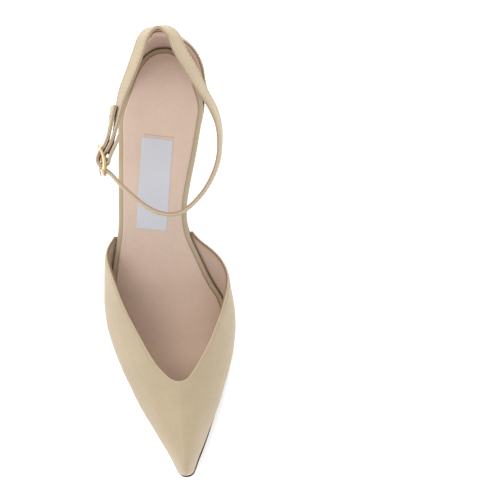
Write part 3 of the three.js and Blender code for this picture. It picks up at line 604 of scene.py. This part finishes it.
def vamp_point(y, u, inset, crease=0.0):
    """A point of the vamp: u from -1 (lateral) over the ridge to 1 (medial), inset under its face."""
    y, u, inset = np.broadcast_arrays(*(np.asarray(v, float) for v in (y, u, inset)))
    lateral = u < 0
    toe = smoothstep(-y, 150, 210)
    fullness = np.where(lateral, 1.1 - 0.05 * toe, 0.85 + 0.2 * toe)
    rise = np.where(lateral, 1.35 - 0.2 * toe, 1.1 + 0.05 * toe)
    flare_angle = np.radians(np.where(lateral, 25.0, 33.0))
    angle = (1 - np.abs(u)) * math.pi / 2
    half = np.where(lateral, vamp_lateral(y), vamp_medial(y)) - inset
    half = half + WIDER * smoothstep(-y, 98, 112) * smoothstep(y, -232, -195)
    edge = np.where(lateral, ridge(y) - edge_lateral(y), edge_medial(y) - ridge(y))
    wall = GAP + LINING + GAP + UPPER + (PUFF + GAP) * puffed(y)
    flare = np.maximum(0, 1 - angle / flare_angle)
    cosine = np.clip(np.cos(angle), 0, 1)
    reach = half * cosine ** fullness - (half - edge - wall + inset) * flare ** 2
    from_toe = y - TOE_Y - inset
    height = (vamp_height(y) - inset) * (0.55 + 0.45 * rounded(from_toe / 6))
    height = height * np.clip(np.sin(angle), 0, 1) ** rise
    height = height * (1 + crease * np.exp(-np.abs(u) / 0.08))
    x = ridge(y) + np.where(lateral, -1, 1) * reach * rounded(from_toe / 3)
    return np.stack([x, y, feather(y) + height], -1)


def topline(u):
    return np.where(u < 0, topline_lateral(-u), topline_medial(u))


EVEN_COLUMNS = np.linspace(-1, 1, 121)
VAMP_COLUMNS = np.sin(EVEN_COLUMNS * math.pi / 2 * 0.999) * 0.35 + EVEN_COLUMNS * 0.65
VAMP_COLUMNS /= VAMP_COLUMNS[-1]
VAMP_ROWS = 1 - (1 - np.linspace(0, 1, 101)) ** 1.7


def vamp_grid(depth, start=0.0, drape=0.0, crease=0.0):
    """Rows from the topline to the toe tip at a depth that may depend on y.

    start is the drop below the topline, drape the height of slow waves in the leather."""
    u = VAMP_COLUMNS[None, :]
    top = topline(u) - start
    tip = TOE_Y + float(depth(np.array(TOE_Y)))
    y = top + (tip - top) * VAMP_ROWS[:, None]
    inset = depth(y)
    if drape:
        waves = np.sin(y * 0.21 + u * 4.1) * np.sin(u * 9.7 + y * 0.083)
        waves = waves + 0.6 * np.sin(y * 0.47 - u * 6.3)
        inset = inset + drape * waves * rounded((y - tip) / 30) * np.ones_like(u)
    return vamp_point(y, u, inset, crease * smoothstep(y - tip, 2, 14))


def lasted(grid, rise, bend):
    """Turns each row's ends under the insole board, rise from the board's underside."""
    left, right = grid[:, 0], grid[:, -1]
    wide = right[:, 0] - left[:, 0]
    reach = np.minimum(MARGIN, 0.4 * wide)
    corner = np.minimum(bend, reach * 0.5)
    ends = []
    for edge, sign in ((left, 1), (right, -1)):
        columns = []
        for angle in np.linspace(0, math.pi / 2, 5):
            x = edge[:, 0] + sign * corner * (1 - math.cos(angle))
            z = feather(edge[:, 1]) + rise + corner * (1 - math.sin(angle))
            columns.append(np.stack([x, edge[:, 1], z], -1))
        under = feather(edge[:, 1]) + rise
        columns.append(np.stack([edge[:, 0] + sign * reach, edge[:, 1], under], -1))
        ends.append(np.stack(columns, 1))
    return np.concatenate([ends[0][:, ::-1], grid, ends[1]], 1)


def build_vamp():
    outer = lasted(vamp_grid(lambda y: 0 * y, drape=0.07, crease=0.022), -2.4, 1.7)
    inner = lasted(vamp_grid(lambda y: 0 * y + UPPER, crease=0.022), -1.6, 0.8)
    part("vamp_leather", *skin(outer, inner), upper, replaces=["vamp_outer"], slot="upper_leather")

    def under(extra):
        return lambda y: UPPER + GAP + extra + (PUFF + GAP) * puffed(y)

    face = vamp_grid(under(-0.2), start=0.45)
    back = vamp_grid(under(LINING), start=0.45)
    part("vamp_lining_leather", *skin(face, back), lining, replaces=["vamp_lining"],
         slot="lining_leather", trim=dark_brown_rims, trimmed=rim_faces(face))
    sewn("vamp_topstitching", vamp_stitching())


def vamp_stitching(away=1.5):
    """A row of thread that follows the topline, away from its folded edge."""
    u = np.concatenate([np.linspace(-0.965, 0, 420), np.linspace(0, 0.965, 420)[1:]])
    y = topline(u)
    edge = vamp_point(y, u, 0)
    along = unit(np.gradient(edge, axis=0))
    forward = vamp_point(y - 0.5, u, 0) - edge
    off = forward - np.sum(forward * along, axis=1, keepdims=True) * along
    share = np.linalg.norm(off, axis=1) / 0.5
    drop = np.minimum(away / np.maximum(share, 0.12), 12)
    line = vamp_point(y - drop, u, 0)
    du = vamp_point(y - drop, u + 0.004, 0) - vamp_point(y - drop, u - 0.004, 0)
    dy = vamp_point(y - drop - 0.3, u, 0) - vamp_point(y - drop + 0.3, u, 0)
    out = unit(np.cross(du, dy))
    out *= np.sign(out[:, 2:3])
    return stitches(line, out)


# ---- bottom
def build_outsole():
    toe, breast = TOE_Y - 1.1, HEEL_BREAST_Y - 1.6
    y = spaced(toe, breast, 220, 0.6)
    left, right = edge_lateral(y) - sole_welt(y), edge_medial(y) + sole_welt(y)
    right = right + WIDER * smoothstep(-y, 200, 226)
    middle, half = (left + right) / 2, (right - left) / 2 * rounded((y - toe) / 4.6)
    drop = SOLE_DROP_WAIST + (SOLE_DROP - SOLE_DROP_WAIST) * smoothstep(-y, 80, 96)
    thick = SOLE_WAIST + (SOLE - SOLE_WAIST) * smoothstep(-y, 95, 140)
    top = feather(y) - drop
    low = np.maximum(0, top - thick)
    size = np.minimum(1, half / 12)
    bevel, (groove_in, groove_deep) = SOLE_BEVEL, SOLE_GROOVE
    from_edge = np.array([bevel, 2.2, 3.4, 3.7, 3.95, 4.2, 4.5, 6, 8.5, 12])
    groove = groove_deep * np.exp(-((from_edge - groove_in) / 0.3) ** 2)
    quarter = np.linspace(0, math.pi / 2, 4)
    across, up = [], []

    def at(sign, distance, height):
        across.append(middle + sign * np.maximum(half - distance * size, 0))
        up.append(height)

    def corner(sign, angles, upper):
        for angle in angles:
            near, far = bevel * (1 - math.sin(angle)), bevel * (1 - math.cos(angle))
            at(sign, far if upper else near, top - near if upper else low + far)

    for sign in (-1, 1):
        for distance, cut in list(zip(from_edge, groove))[::-sign]:
            at(sign, distance, low + cut * size)
    corner(1, quarter, upper=False)
    corner(1, quarter, upper=True)
    for share in (1, 0, -1):
        across.append(middle + share * np.maximum(half - bevel * 4, 0) * 0.6)
        up.append(top)
    corner(-1, quarter[::-1], upper=True)
    corner(-1, quarter[::-1], upper=False)
    across = np.stack(across, 1)
    share = np.clip((across - middle[:, None]) / np.maximum(half[:, None], 1), -1, 1)
    near = smoothstep(y, -60, breast)[:, None]
    back = (0.55 + 1.5 * np.cos(share * math.pi / 2)) * near
    rings = np.stack([across, y[:, None] + back, np.stack(up, 1)], -1)
    part("sole", *tube(rings), sole_leather, replaces=["outsole"], slot="sole_leather", smooth=50)


def build_binding():
    q = np.linspace(-1, 1, 321)
    over, under, wide = BOARD + 0.4, -0.4, BINDING_WIDTH
    outline = []

    def arc(inset, rise, radius, start, stop):
        for a in np.linspace(math.radians(start), math.radians(stop), 6):
            outline.append((inset + radius * math.cos(a), rise + radius * math.sin(a)))

    tip = BINDING / 2
    arc(wide - tip, under - tip, tip, 90, -90)
    arc(1.1, under - BINDING + 1.1, 1.1, -90, -180)
    arc(1.3, over + BINDING - 1.3, 1.3, 180, 90)
    arc(wide - tip, over + tip, tip, 90, -90)
    arc(BINDING + 0.4, over - 0.4, 0.4, 90, 180)
    arc(BINDING + 0.4, under + 0.4, 0.4, 180, 270)
    rings = []
    for inset, rise in outline:
        point = seat_edge(q, 158, -inset)
        waist = smoothstep(-point[:, 1], 29, 31) * (1 - smoothstep(-point[:, 1], 90, 95))
        point[:, 2] = feather(point[:, 1]) + rise - (0.75 * waist if rise < under - 0.3 else 0)
        rings.append(point)
    part("insole_edge_binding", *tube(np.stack(rings, 1)), upper, replaces=["insole_binding"],
         slot="upper_leather")


def sock_top(y):
    return feather(y) + SOCK_BASE + SOCK + SOCK_CROWN


def build_sock():
    y = spaced(-SOCK_INSET, SOCK_TOE_Y, 300, 0.85)
    left, right = insole_edges(y, SOCK_INSET)
    middle, half = (left + right) / 2, (right - left) / 2
    v = np.sin(np.linspace(-1, 1, 41) * math.pi / 2)
    x = middle[:, None] + half[:, None] * v
    ends = np.minimum(-SOCK_INSET - y, y - SOCK_TOE_Y)[:, None]
    inside = np.minimum(half[:, None] * (1 - np.abs(v)), ends * 1.2)
    fall = 0.75 * (1 - rounded(inside / 1.0))
    crown = SOCK_CROWN * smoothstep(inside, 0, 7)
    relief = 0.05 * np.sin(y[:, None] * 0.16 + x * 0.11) * np.sin(x * 0.23 - y[:, None] * 0.05)
    base = feather(y)[:, None] + SOCK_BASE + 0 * x
    rise = SOCK - fall + crown + relief * smoothstep(inside, 1, 8)
    top = np.stack([x, y[:, None] + 0 * x, base + rise], -1)
    low = np.stack([x, y[:, None] + 0 * x, base], -1)
    rings = np.concatenate([top, low[:, ::-1]], 1)
    sock = part("padded_sock", *tube(rings), sock_skin, replaces=["sock_lining"],
                slot="lining_leather")


LABEL_MIDDLE = np.array([-9.5, -72.2])
LABEL_ALONG = np.array([-0.144, -0.99])
LABEL_ACROSS = np.array([0.99, -0.144])
LABEL_HALF = (23.9, 8.6)


def on_label(s, t, rise):
    """A point at s along and t across the label, rise over the sock's surface."""
    place = LABEL_MIDDLE + np.multiply.outer(s, LABEL_ALONG) + np.multiply.outer(t, LABEL_ACROSS)
    return np.concatenate([place, (sock_top(place[..., 1]) + rise)[..., None]], -1)


def build_label():
    s = np.sin(np.linspace(-1, 1, 90) * math.pi / 2) * LABEL_HALF[0]
    t = np.sin(np.linspace(-1, 1, 40) * math.pi / 2) * LABEL_HALF[1]
    grid_s, grid_t = np.meshgrid(s, t, indexing="ij")
    inside = np.minimum(LABEL_HALF[0] - abs(grid_s), LABEL_HALF[1] - abs(grid_t))
    rise = 0.33 * rounded(inside / 0.3) + 0.06 * np.exp(-((inside - 1.1) / 0.22) ** 2)
    top = np.stack([on_label(a, b, 0) for a, b in zip(grid_s, grid_t)])
    low = top.copy()
    top[..., 2] += rise + 0.02
    low[..., 2] -= 0.02
    rings = np.concatenate([top, low[:, ::-1]], 1)
    part("label", *tube(rings), label_cloth, replaces=["label_patch"], slot="label_cloth")
    dots = []
    for t0 in np.linspace(-0.86, 0.96, 11) * LABEL_HALF[1]:
        line = on_label(np.full(5, -LABEL_HALF[0] - 1.5), t0 + np.linspace(-0.4, 0.4, 5), 0.0)
        dots.append(tube(sweep(line, 0.2 * np.array([0.4, 0.9, 1, 0.9, 0.4]), (0, 0, 1), 6)))
    part("sock_stitches", *joined(*dots), lining_thread, slot="lining_leather", smooth=180)


# ---- heel
def heel_ring(v, grow, back=81, front=33):
    """One ring of the heel at level v, from the foot (0) to the seat (1), grown out from its core."""
    flare = v ** HEEL_FLARE
    spread = math.radians(125)
    foot_x, foot_y, side, length = HEEL_FOOT

    def seat(p):
        stand = 1.3 - 2.1 * smoothstep(np.abs(p), 0.72, 0.95)
        return seat_edge(p, -HEEL_BREAST_Y + grow, stand + grow)

    def foot(p):
        return np.stack([foot_x + (side + grow) * np.sin(p * spread),
                         foot_y + (length + grow) * np.cos(p * spread), 0 * p], -1)

    def join(low, high):
        point = low + (high - low) * flare
        ahead_of_cup = smoothstep(-high[:, 1], 28.6, 31) * smoothstep(np.abs(high[:, 0]), 8, 11)
        top = feather(high[:, 1]) - HEEL_DROP
        point[:, 2] = TOP_PIECE + GAP + (top - TOP_PIECE - GAP) * v
        point[:, 2] += HEEL_LIFT * ahead_of_cup * smoothstep(v, 0.96, 1)
        return point

    p = np.linspace(-1, 1, back)
    t = np.linspace(0, 1, front)[1:-1, None]
    ends = np.array([1.0, -1.0])
    low = foot(ends)[0] + (foot(ends)[1] - foot(ends)[0]) * t
    high = seat(ends)[0] + (seat(ends)[1] - seat(ends)[0]) * t
    low[:, 1] -= grow * 0.4
    high[:, 1] += 1.6 * np.sin(t[:, 0] * math.pi)
    seam = 0.22 * np.exp(-(((t[:, 0] - 0.5) * np.linalg.norm(high[0] - high[-1])) / 0.5) ** 2)
    high[:, 1] += seam
    return np.concatenate([join(foot(p), seat(p)), join(low, high)])


def soften(ring, turns):
    """Rounds a closed ring's corners by averaging neighbours."""
    for _ in range(turns):
        ring = (np.roll(ring, 1, 0) + 2 * ring + np.roll(ring, -1, 0)) / 4
    return ring


def build_heel():
    levels = np.linspace(0, 1, 71)
    outer = [soften(heel_ring(v, HEEL_WRAP[1]), 2) for v in levels]
    inner = [heel_ring(v, HEEL_WRAP[0]) for v in levels]
    part("heel_wrap", *tube(np.array(outer + inner[::-1]), closed=True), upper_heel,
         replaces=["heel_cover"], slot="upper_leather", smooth=45)
    base = soften(heel_ring(0, HEEL_WRAP[1]), 1)
    centre = np.array([HEEL_FOOT[0], HEEL_FOOT[1], 0])
    # height and share of the outline, with a shallow groove underneath
    profile = [(0.0, 0.62), (0.0, 0.66), (0.25, 0.68), (0.25, 0.74), (0.0, 0.76), (0.0, 0.93),
               (0.12, 0.975), (0.5, 1.0), (TOP_PIECE / 2, 1.0), (TOP_PIECE - 0.4, 1.0),
               (TOP_PIECE - 0.1, 0.985), (TOP_PIECE, 0.95), (TOP_PIECE, 0.5)]
    rings = []
    for z, grow in profile:
        ring = centre + (base - centre) * grow
        ring[:, 2] = z
        rings.append(ring)
    part("heel_tip", *tube(np.array(rings)), rubber, replaces=["heel_top_piece"],
         slot="top_piece_rubber", smooth=35)


# ---- heel cup
def cup_bulge(p, height):
    """How far the cup's wall stands out, or in, from the seat's edge at a height."""
    lateral = smoothstep(-p, 0.05, 0.35)
    up_to_strap = 1.8 * smoothstep(height, 42, 50) * (1 - smoothstep(np.abs(p), 0.08, 0.2))
    return bulge_medial(height) * (1 - lateral) + bulge_lateral(height) * lateral + up_to_strap


def cup_point(p, height, out):
    """A point of the cup's wall, out from the board's edge."""
    point = seat_edge(p, COUNTER_REACH, out + cup_bulge(p, height))
    point[..., 2] = feather(seat_edge(p, COUNTER_REACH, 0)[..., 1]) + height
    return point


def cup_grid(out, lean_in=0.0, rows=44, short=0.0, margin=None):
    """Rows from the top edge down to the seat, leaning in towards the foot at the top edge.

    short lowers the top edge, and a margin turns the foot of the wall in under the board."""
    p = np.linspace(-1, 1, 161)
    tall = cup_top(np.abs(p)) - short
    wall = []
    for t in np.linspace(1, 0, rows):
        height = np.maximum(tall, 0.5) * t
        close = 1 - smoothstep(tall - height, 0.3, 4.5)
        wall.append(cup_point(p, height, out - lean_in * close))
    if margin is not None:
        for reach, share in ((out - 0.1, 0.35), (out - 0.6, 0.8), (out - 1.6, 1), (-8, 1)):
            point = seat_edge(p, COUNTER_REACH, reach)
            point[:, 2] = feather(point[:, 1]) - margin * share
            wall.append(point)
    return np.stack(wall)


def build_cup():
    face = cup_grid(CUP_OUTER[1], 0.15, margin=2.4)
    back = cup_grid(CUP_OUTER[0], 0.1, margin=1.6)
    part("heel_cup_leather", *skin(face, back), upper, replaces=["counter_outer"],
         slot="upper_leather")
    face, back = (cup_grid(out, -0.9, short=0.3) for out in CUP_LINING[::-1])
    part("heel_cup_lining", *skin(face, back), lining, replaces=["counter_lining"],
         slot="lining_leather", trim=dark_brown_rims, trimmed=rim_faces(face))
    face, back = (cup_grid(out, short=4.8) for out in CUP_STIFFENER[::-1])
    part("heel_cup_stiffener", *skin(face, back), stiff, replaces=["counter_stiffener"],
         slot="stiffener_board")
    p = np.linspace(-0.97, 0.97, 500)
    tall = cup_top(np.abs(p))
    edge = cup_point(p, tall, CUP_OUTER[1] - 0.1)
    slope = np.gradient(tall) / np.linalg.norm(np.gradient(edge[:, :2], axis=0), axis=1)
    height = tall - np.minimum(1.6 * np.hypot(1, slope), 0.6 * tall)
    face = CUP_OUTER[1] - 0.02
    out = seat_edge(p, COUNTER_REACH, 1) - seat_edge(p, COUNTER_REACH, 0)
    sewn("heel_cup_topstitching", stitches(cup_point(p, height, face), out))
    rise = np.linspace(1.5, 47, 200)
    seams = [stitches(cup_point(np.full(200, q), rise, face), (0, 1, 0)) for q in (-0.045, 0.045)]
    sewn("back_seam_stitching", joined(*seams))


# ---- ankle strap
def at_buckle(s, n, z=0.0):
    """A point s along the strap at the buckle, n out from the ankle and z up."""
    return BAR + ALONG * s + OUT * n + UP * z


def buckled(s, n):
    """A stop of the strap's route at the buckle."""
    return (*at_buckle(s, n), 0, 9.5)


# x, y, z, lean in degrees and width at each stop of the strap's middle
STRAP_ROUTE = [
    buckled(-3.6, -1.8), buckled(-7.2, -4.6),
    (-25.3, -50, 135.4, 10, 9.6), (-22.6, -38.5, 136, 22, 9.8), (-20.2, -30.8, 136.4, 31, 10),
    (-15.6, -20.2, 136.8, 34, 10.2), (-11.6, -10.2, 137, 35, 10.4), (-9.1, -3.7, 137, 33, 10.4),
    (-6, -0.1, 137, 26, 10.2), (-1.4, 1.7, 137, 11, 10), (2.8, 0.7, 137, 26, 10.2),
    (6.4, -2.5, 137, 33, 10.4), (9.2, -9.9, 137, 36, 10.4), (15, -21, 136.8, 37, 10.2),
    (21.1, -33.4, 136.3, 27, 9.9), (25.6, -42, 135.8, 22, 9.7), (28, -49.8, 135.3, 14, 9.5),
    (28.6, -57.5, 135, 8, 9.5), (26.8, -70.7, 134.4, 3, 9.5), (19.4, -84.8, 133.8, -1, 9.5),
    (8.2, -95, 133.5, -3, 9.5), (1.6, -96.6, 133.5, -3, 9.5), (-4.9, -95.3, 133.6, -2, 9.5),
    (-11.5, -91.6, 133.8, -1, 9.5), (-23.4, -80.6, 134.6, 0, 9.5),
    buckled(7.3, -1.9), buckled(3.9, 1.6), buckled(0, 3.4), buckled(-3.8, 1.5),
    buckled(-7.2, -1.7),
    (-28.4, -50.3, 134.4, 8, 9.4), (-27.3, -44.5, 134.1, 12, 9.3), (-26, -38.4, 134, 17, 9.2),
]
FOLD_ROUTE = [
    buckled(-12.6, -10.4), buckled(-7.2, -7), buckled(-3.5, -4.5), buckled(-0.4, -2.7),
    buckled(1.4, -2), buckled(2.2, -0.7), buckled(1.6, 0.9), buckled(0, 1.5), buckled(-1.8, 0.65),
]
SPARE_HOLES = (0.683, 0.729, 0.937, 0.971)


def catmull_rom(stops, t):
    """Centripetal Catmull-Rom through the stops at t from 0 to 1."""
    stops = np.asarray(stops, float)
    last = len(stops) - 1
    ends = [2 * stops[0] - stops[1]], [2 * stops[-1] - stops[-2]]
    padded_stops = np.concatenate([ends[0], stops, ends[1]])
    place = np.clip(t, 0, 1) * last
    i = np.minimum(place.astype(int), last - 1)
    w = (place - i)[:, None]
    p = [padded_stops[i + k] for k in range(4)]
    d = [np.linalg.norm(p[k + 1] - p[k], axis=1, keepdims=True) ** 0.5 for k in range(3)]
    leave = (p[1] - p[0]) / d[0] - (p[2] - p[0]) / (d[0] + d[1]) + (p[2] - p[1]) / d[1]
    arrive = (p[2] - p[1]) / d[1] - (p[3] - p[1]) / (d[1] + d[2]) + (p[3] - p[2]) / d[2]
    leave, arrive = leave * d[1], arrive * d[1]
    square = -3 * p[1] + 3 * p[2] - 2 * leave - arrive
    cube = 2 * p[1] - 2 * p[2] + leave + arrive
    return p[1] + leave * w + square * w ** 2 + cube * w ** 3


class Ribbon:
    """Samples along a stretch of strap: place, outward and upward directions, and width."""

    def __init__(self, route, count, start=0.0, end=1.0):
        t = np.linspace(start, end, count)
        stops = np.array([r[:3] for r in route])
        place = np.linspace(0, 1, len(route))
        lean, self.width = (through(list(zip(place, [r[k] for r in route])))(t) for k in (3, 4))
        lean = np.radians(lean)[:, None]
        self.at = catmull_rom(stops, t)
        along = catmull_rom(stops, t + 1e-4) - catmull_rom(stops, t - 1e-4)
        flat = unit(np.stack([-along[:, 1], along[:, 0], 0 * t], -1))
        self.up = UP * np.cos(lean) - flat * np.sin(lean)
        self.out = flat * np.cos(lean) + UP * np.sin(lean)

    def point(self, n, h):
        """The point n outside the strap's middle and h up its width, at every sample."""
        h = np.broadcast_to(h, self.width.shape)
        return self.at + self.out * np.reshape(n, (-1, 1)) + self.up * h[:, None]

    def rings(self, mid, thick, pressed=1.0):
        """Sections of one ply, crowned on its outer face and pressed along its stitching."""
        sign = 1 if mid >= 0 else -1
        share = np.sin(np.linspace(-1, 1, PLY_SAMPLES) * math.pi / 2)
        corner = 0.3
        rings = []
        for h_share, face in [(h, 1) for h in share] + [(h, -1) for h in share[::-1]]:
            h = h_share * self.width / 2
            near = self.width / 2 - np.abs(h)
            round_off = corner * (1 - rounded(near / corner))
            n = mid + face * (thick / 2 - round_off)
            if face == sign:
                crown = 0.12 * (1 - h_share ** 2)
                dent = 0.13 * np.exp(-((near - 1.3) / 0.3) ** 2)
                n = n + sign * (crown - dent) * pressed
            rings.append(self.point(n, h))
        return np.stack(rings, 1)


def solid_box(s0, s1, n0, n1, half):
    """A box at the buckle, from s0 to s1 along, n0 to n1 out and half up and down."""
    corners = [at_buckle(s, n, z) for s in (s0, s1) for n in (n0, n1) for z in (-half, half)]
    faces = [(0, 1, 3, 2), (4, 6, 7, 5), (0, 4, 5, 1), (2, 3, 7, 6), (0, 2, 6, 4), (1, 5, 7, 3)]
    return np.array(corners), faces


def punched(piece, cutters):
    """Cuts closed solids out of a piece and keeps the result as its mesh."""
    tools = []
    for points, faces in cutters:
        mesh = mesh_of("cutter", points, faces)
        clean(mesh)
        tool = linked("cutter", mesh)
        modifier = piece.modifiers.new("cut", "BOOLEAN")
        modifier.operation, modifier.object, modifier.solver = "DIFFERENCE", tool, "EXACT"
        tools.append(tool)
    whole = piece.evaluated_get(bpy.context.evaluated_depsgraph_get())
    result = bpy.data.meshes.new_from_object(whole)
    piece.modifiers.clear()
    piece.data = result
    for tool in tools:
        bpy.data.objects.remove(tool)


def build_strap():
    ribbon = Ribbon(STRAP_ROUTE, 460)
    fold = Ribbon(FOLD_ROUTE, 80, 0.0, 0.975)
    outer_rings = ribbon.rings(PLY_MID - 0.06, PLY + 0.14)
    fold_rings = fold.rings(0.0, PLY, 0.0)
    # The fold runs on into the arm, and the few sections round the change are evened out.
    even = np.concatenate([fold_rings, outer_rings])
    seam = len(fold_rings)
    for _ in range(30):
        inner = even[seam - 5:seam + 4]
        even[seam - 4:seam + 3] = (inner[:-2] + 2 * inner[1:-1] + inner[2:]) / 4
    holes = []
    for place in SPARE_HOLES:
        spot = Ribbon(STRAP_ROUTE, 1, place, place)
        line = np.concatenate([spot.at - spot.out * 1.5, spot.at + spot.out * 1.5])
        holes.append(tube(sweep(line, HOLE, UP, 20)))
    slot = solid_box(0.1, 5.2, 0.4, 6, 1)
    slit = solid_box(-2.5, 3.4, -2, 2.1, 1.1)
    outer = part("ankle_strap_leather", *tube(even), upper, replaces=["ankle_strap_outer"],
                 slot="upper_leather", smooth=50)
    punched(outer, [slot, slit, *holes])
    lining_rings = ribbon.rings(-0.4, 0.7)
    around = 2 * PLY_SAMPLES
    # The faces along the lining ply's top and bottom edges are coloured dark brown.
    dark_rim_columns = (PLY_SAMPLES - 1, PLY_SAMPLES, PLY_SAMPLES + 1, around - 2, around - 1, 0)
    edges = [r * around + c for r in range(len(lining_rings) - 1) for c in dark_rim_columns]
    inner = part("ankle_strap_lining_leather", *tube(lining_rings), lining,
                 replaces=["ankle_strap_lining"], slot="lining_leather", smooth=50,
                 trim=dark_brown_rims, trimmed=edges)
    punched(inner, [slot, *holes])
    rows = []
    for start, end in ((0.012, 0.778), (0.852, 0.985)):
        run = Ribbon(STRAP_ROUTE, 700, start, end)
        for side in (-1, 1):
            rows.append(stitches(run.point(PLY_MID + 0.43, side * (run.width / 2 - 1.3)), run.out))
    sewn("ankle_strap_stitching", joined(*rows))


def build_buckle():
    half, rail, corner, wire, bar_wire, camber = 7.2, 6.6, 2.2, 0.8, 0.7, 0.031
    prong_loop, prong_wire = 1.4, 0.55
    outline = []
    for i, (sx, sz) in enumerate(((1, 1), (-1, 1), (-1, -1), (1, -1))):
        for t in np.linspace(0, 1, 13):
            a = (i + t) * math.pi / 2
            outline.append((sx * (half - corner) + corner * math.cos(a),
                            sz * (rail - corner) + corner * math.sin(a)))
        last = np.array(outline[-1])
        stop = last * ((-1, 1) if i % 2 == 0 else (1, -1))
        for t in np.linspace(0, 1, 9)[1:-1]:
            outline.append(last + (stop - last) * t)
    path = np.array([at_buckle(s, camber * s * s, z) for s, z in outline])
    frame_wire = tube(sweep(path, wire, OUT, 20, closed=True), closed=True)
    middle = [at_buckle(0, 0, z) for z in np.linspace(-rail, rail, 12)]
    bar = tube(sweep(middle, bar_wire, OUT, 20))
    part("buckle_frame_gold", *joined(frame_wire, bar), gold_metal, body="buckle",
         replaces=["buckle_frame"], slot="gold_metal")
    turn = [at_buckle(-prong_loop * math.sin(a), prong_loop * math.cos(a))
            for a in np.radians(285 * (1 - np.linspace(0, 1, 40)))]
    shank = [(1.2, 1.75), (2.4, 2.6), (3.8, 3.35), (5.6, 3.5), (7.2, 3.3), (8.3, 3.1)]
    run = catmull_rom([at_buckle(*p) for p in shank], np.linspace(0, 1, 30))
    path = np.concatenate([turn, run])
    taper = prong_wire - 0.17 * smoothstep(np.arange(len(path)), len(path) - 24, len(path) - 1)
    taper[-1] *= 0.55
    part("buckle_prong_gold", *tube(sweep(path, taper, UP, 16)), gold_metal, body="prong",
         replaces=["buckle_prong"], slot="gold_metal")


build_vamp()
build_outsole()
build_binding()
build_sock()
build_label()
build_heel()
build_cup()
build_strap()
build_buckle()

STEEL_NODES = ["steel_shank", "shank_rivet_back", "shank_rivet_front", "top_piece_pin",
               "heel_screw", *(f"heel_nail_{i}" for i in range(1, 5))]
KEPT = {
    "insole_board": fibre, "bottom_filler": cork, "sock_foam": foam, "heel_core": plastic,
    "toe_puff": stiff, **dict.fromkeys(STEEL_NODES, plain_steel),
}
for node, material in KEPT.items():
    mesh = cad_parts[node].data
    mesh.materials.clear()
    mesh.materials.append(material)

# ---- stage, light and camera
scene = bpy.context.scene
n = Nodes("floor")
tone = n.ramp(n.noise(1.5, 2), [(0.3, 0.9), (0.7, 0.93)])
n.finish(tone, n.ramp(n.noise(3), [(0.3, 0.85), (0.7, 0.95)]), Emission_Color=(1, 1, 1, 1),
         Emission_Strength=0.32)
mesh = bpy.data.meshes.new("floor")
FLOOR_HALF, FLOOR_Z = 6, -0.0005  # metres
corners = ((-1, -1), (1, -1), (1, 1), (-1, 1))
mesh.from_pydata([(FLOOR_HALF * x, FLOOR_HALF * y, FLOOR_Z) for x, y in corners], [], [(0, 1, 2, 3)])
mesh.materials.append(n.material)
floor = linked("floor", mesh)

world = bpy.data.worlds.new("studio")
scene.world = world
world.use_nodes = True
sky = world.node_tree.nodes["Background"].inputs
sky["Color"].default_value = (1, 1, 1, 1)
sky["Strength"].default_value = 1.02


def lamp(name, place, aim, size, power):
    light = bpy.data.lights.new(name, "AREA")
    light.shape, light.size, light.energy = "DISK", size, power
    holder = linked(name, light)
    holder.location = place
    holder.rotation_mode = "QUATERNION"
    holder.rotation_quaternion = (Vector(aim) - Vector(place)).to_track_quat("-Z", "Y")


lamp("key", (-2.0, 0.7, 2.2), (0, 0, 0.05), 1.8, 32)
lamp("mouth", (0.3, 2.5, 1.7), (0, -0.04, 0.03), 1.2, 34)

# The camera looks down at the middle of the pair, tilted a little from the toes' side.
AIM = np.array([42.5, -105.6, 0])
DISTANCE = 1150
turn, tilt = math.radians(2.494), math.radians(5)
ahead = np.array([math.sin(turn), math.cos(turn), 0])
forward = math.sin(tilt) * ahead - math.cos(tilt) * UP
above = math.cos(tilt) * ahead + math.sin(tilt) * UP
right = np.cross(forward, above)
eye = (AIM - DISTANCE * forward + SHIFT) * MM
camera_data = bpy.data.cameras.new("camera")
camera_data.sensor_width, camera_data.lens = 36, 140.15
camera_data.clip_start, camera_data.clip_end = 0.05, 50
camera = linked("camera", camera_data)
axes = np.stack([right, above, -forward], 1).tolist()
camera.matrix_world = Matrix([[*row, e] for row, e in zip(axes, eye)] + [[0, 0, 0, 1]])
scene.camera = camera
scene.view_settings.view_transform = "Standard"
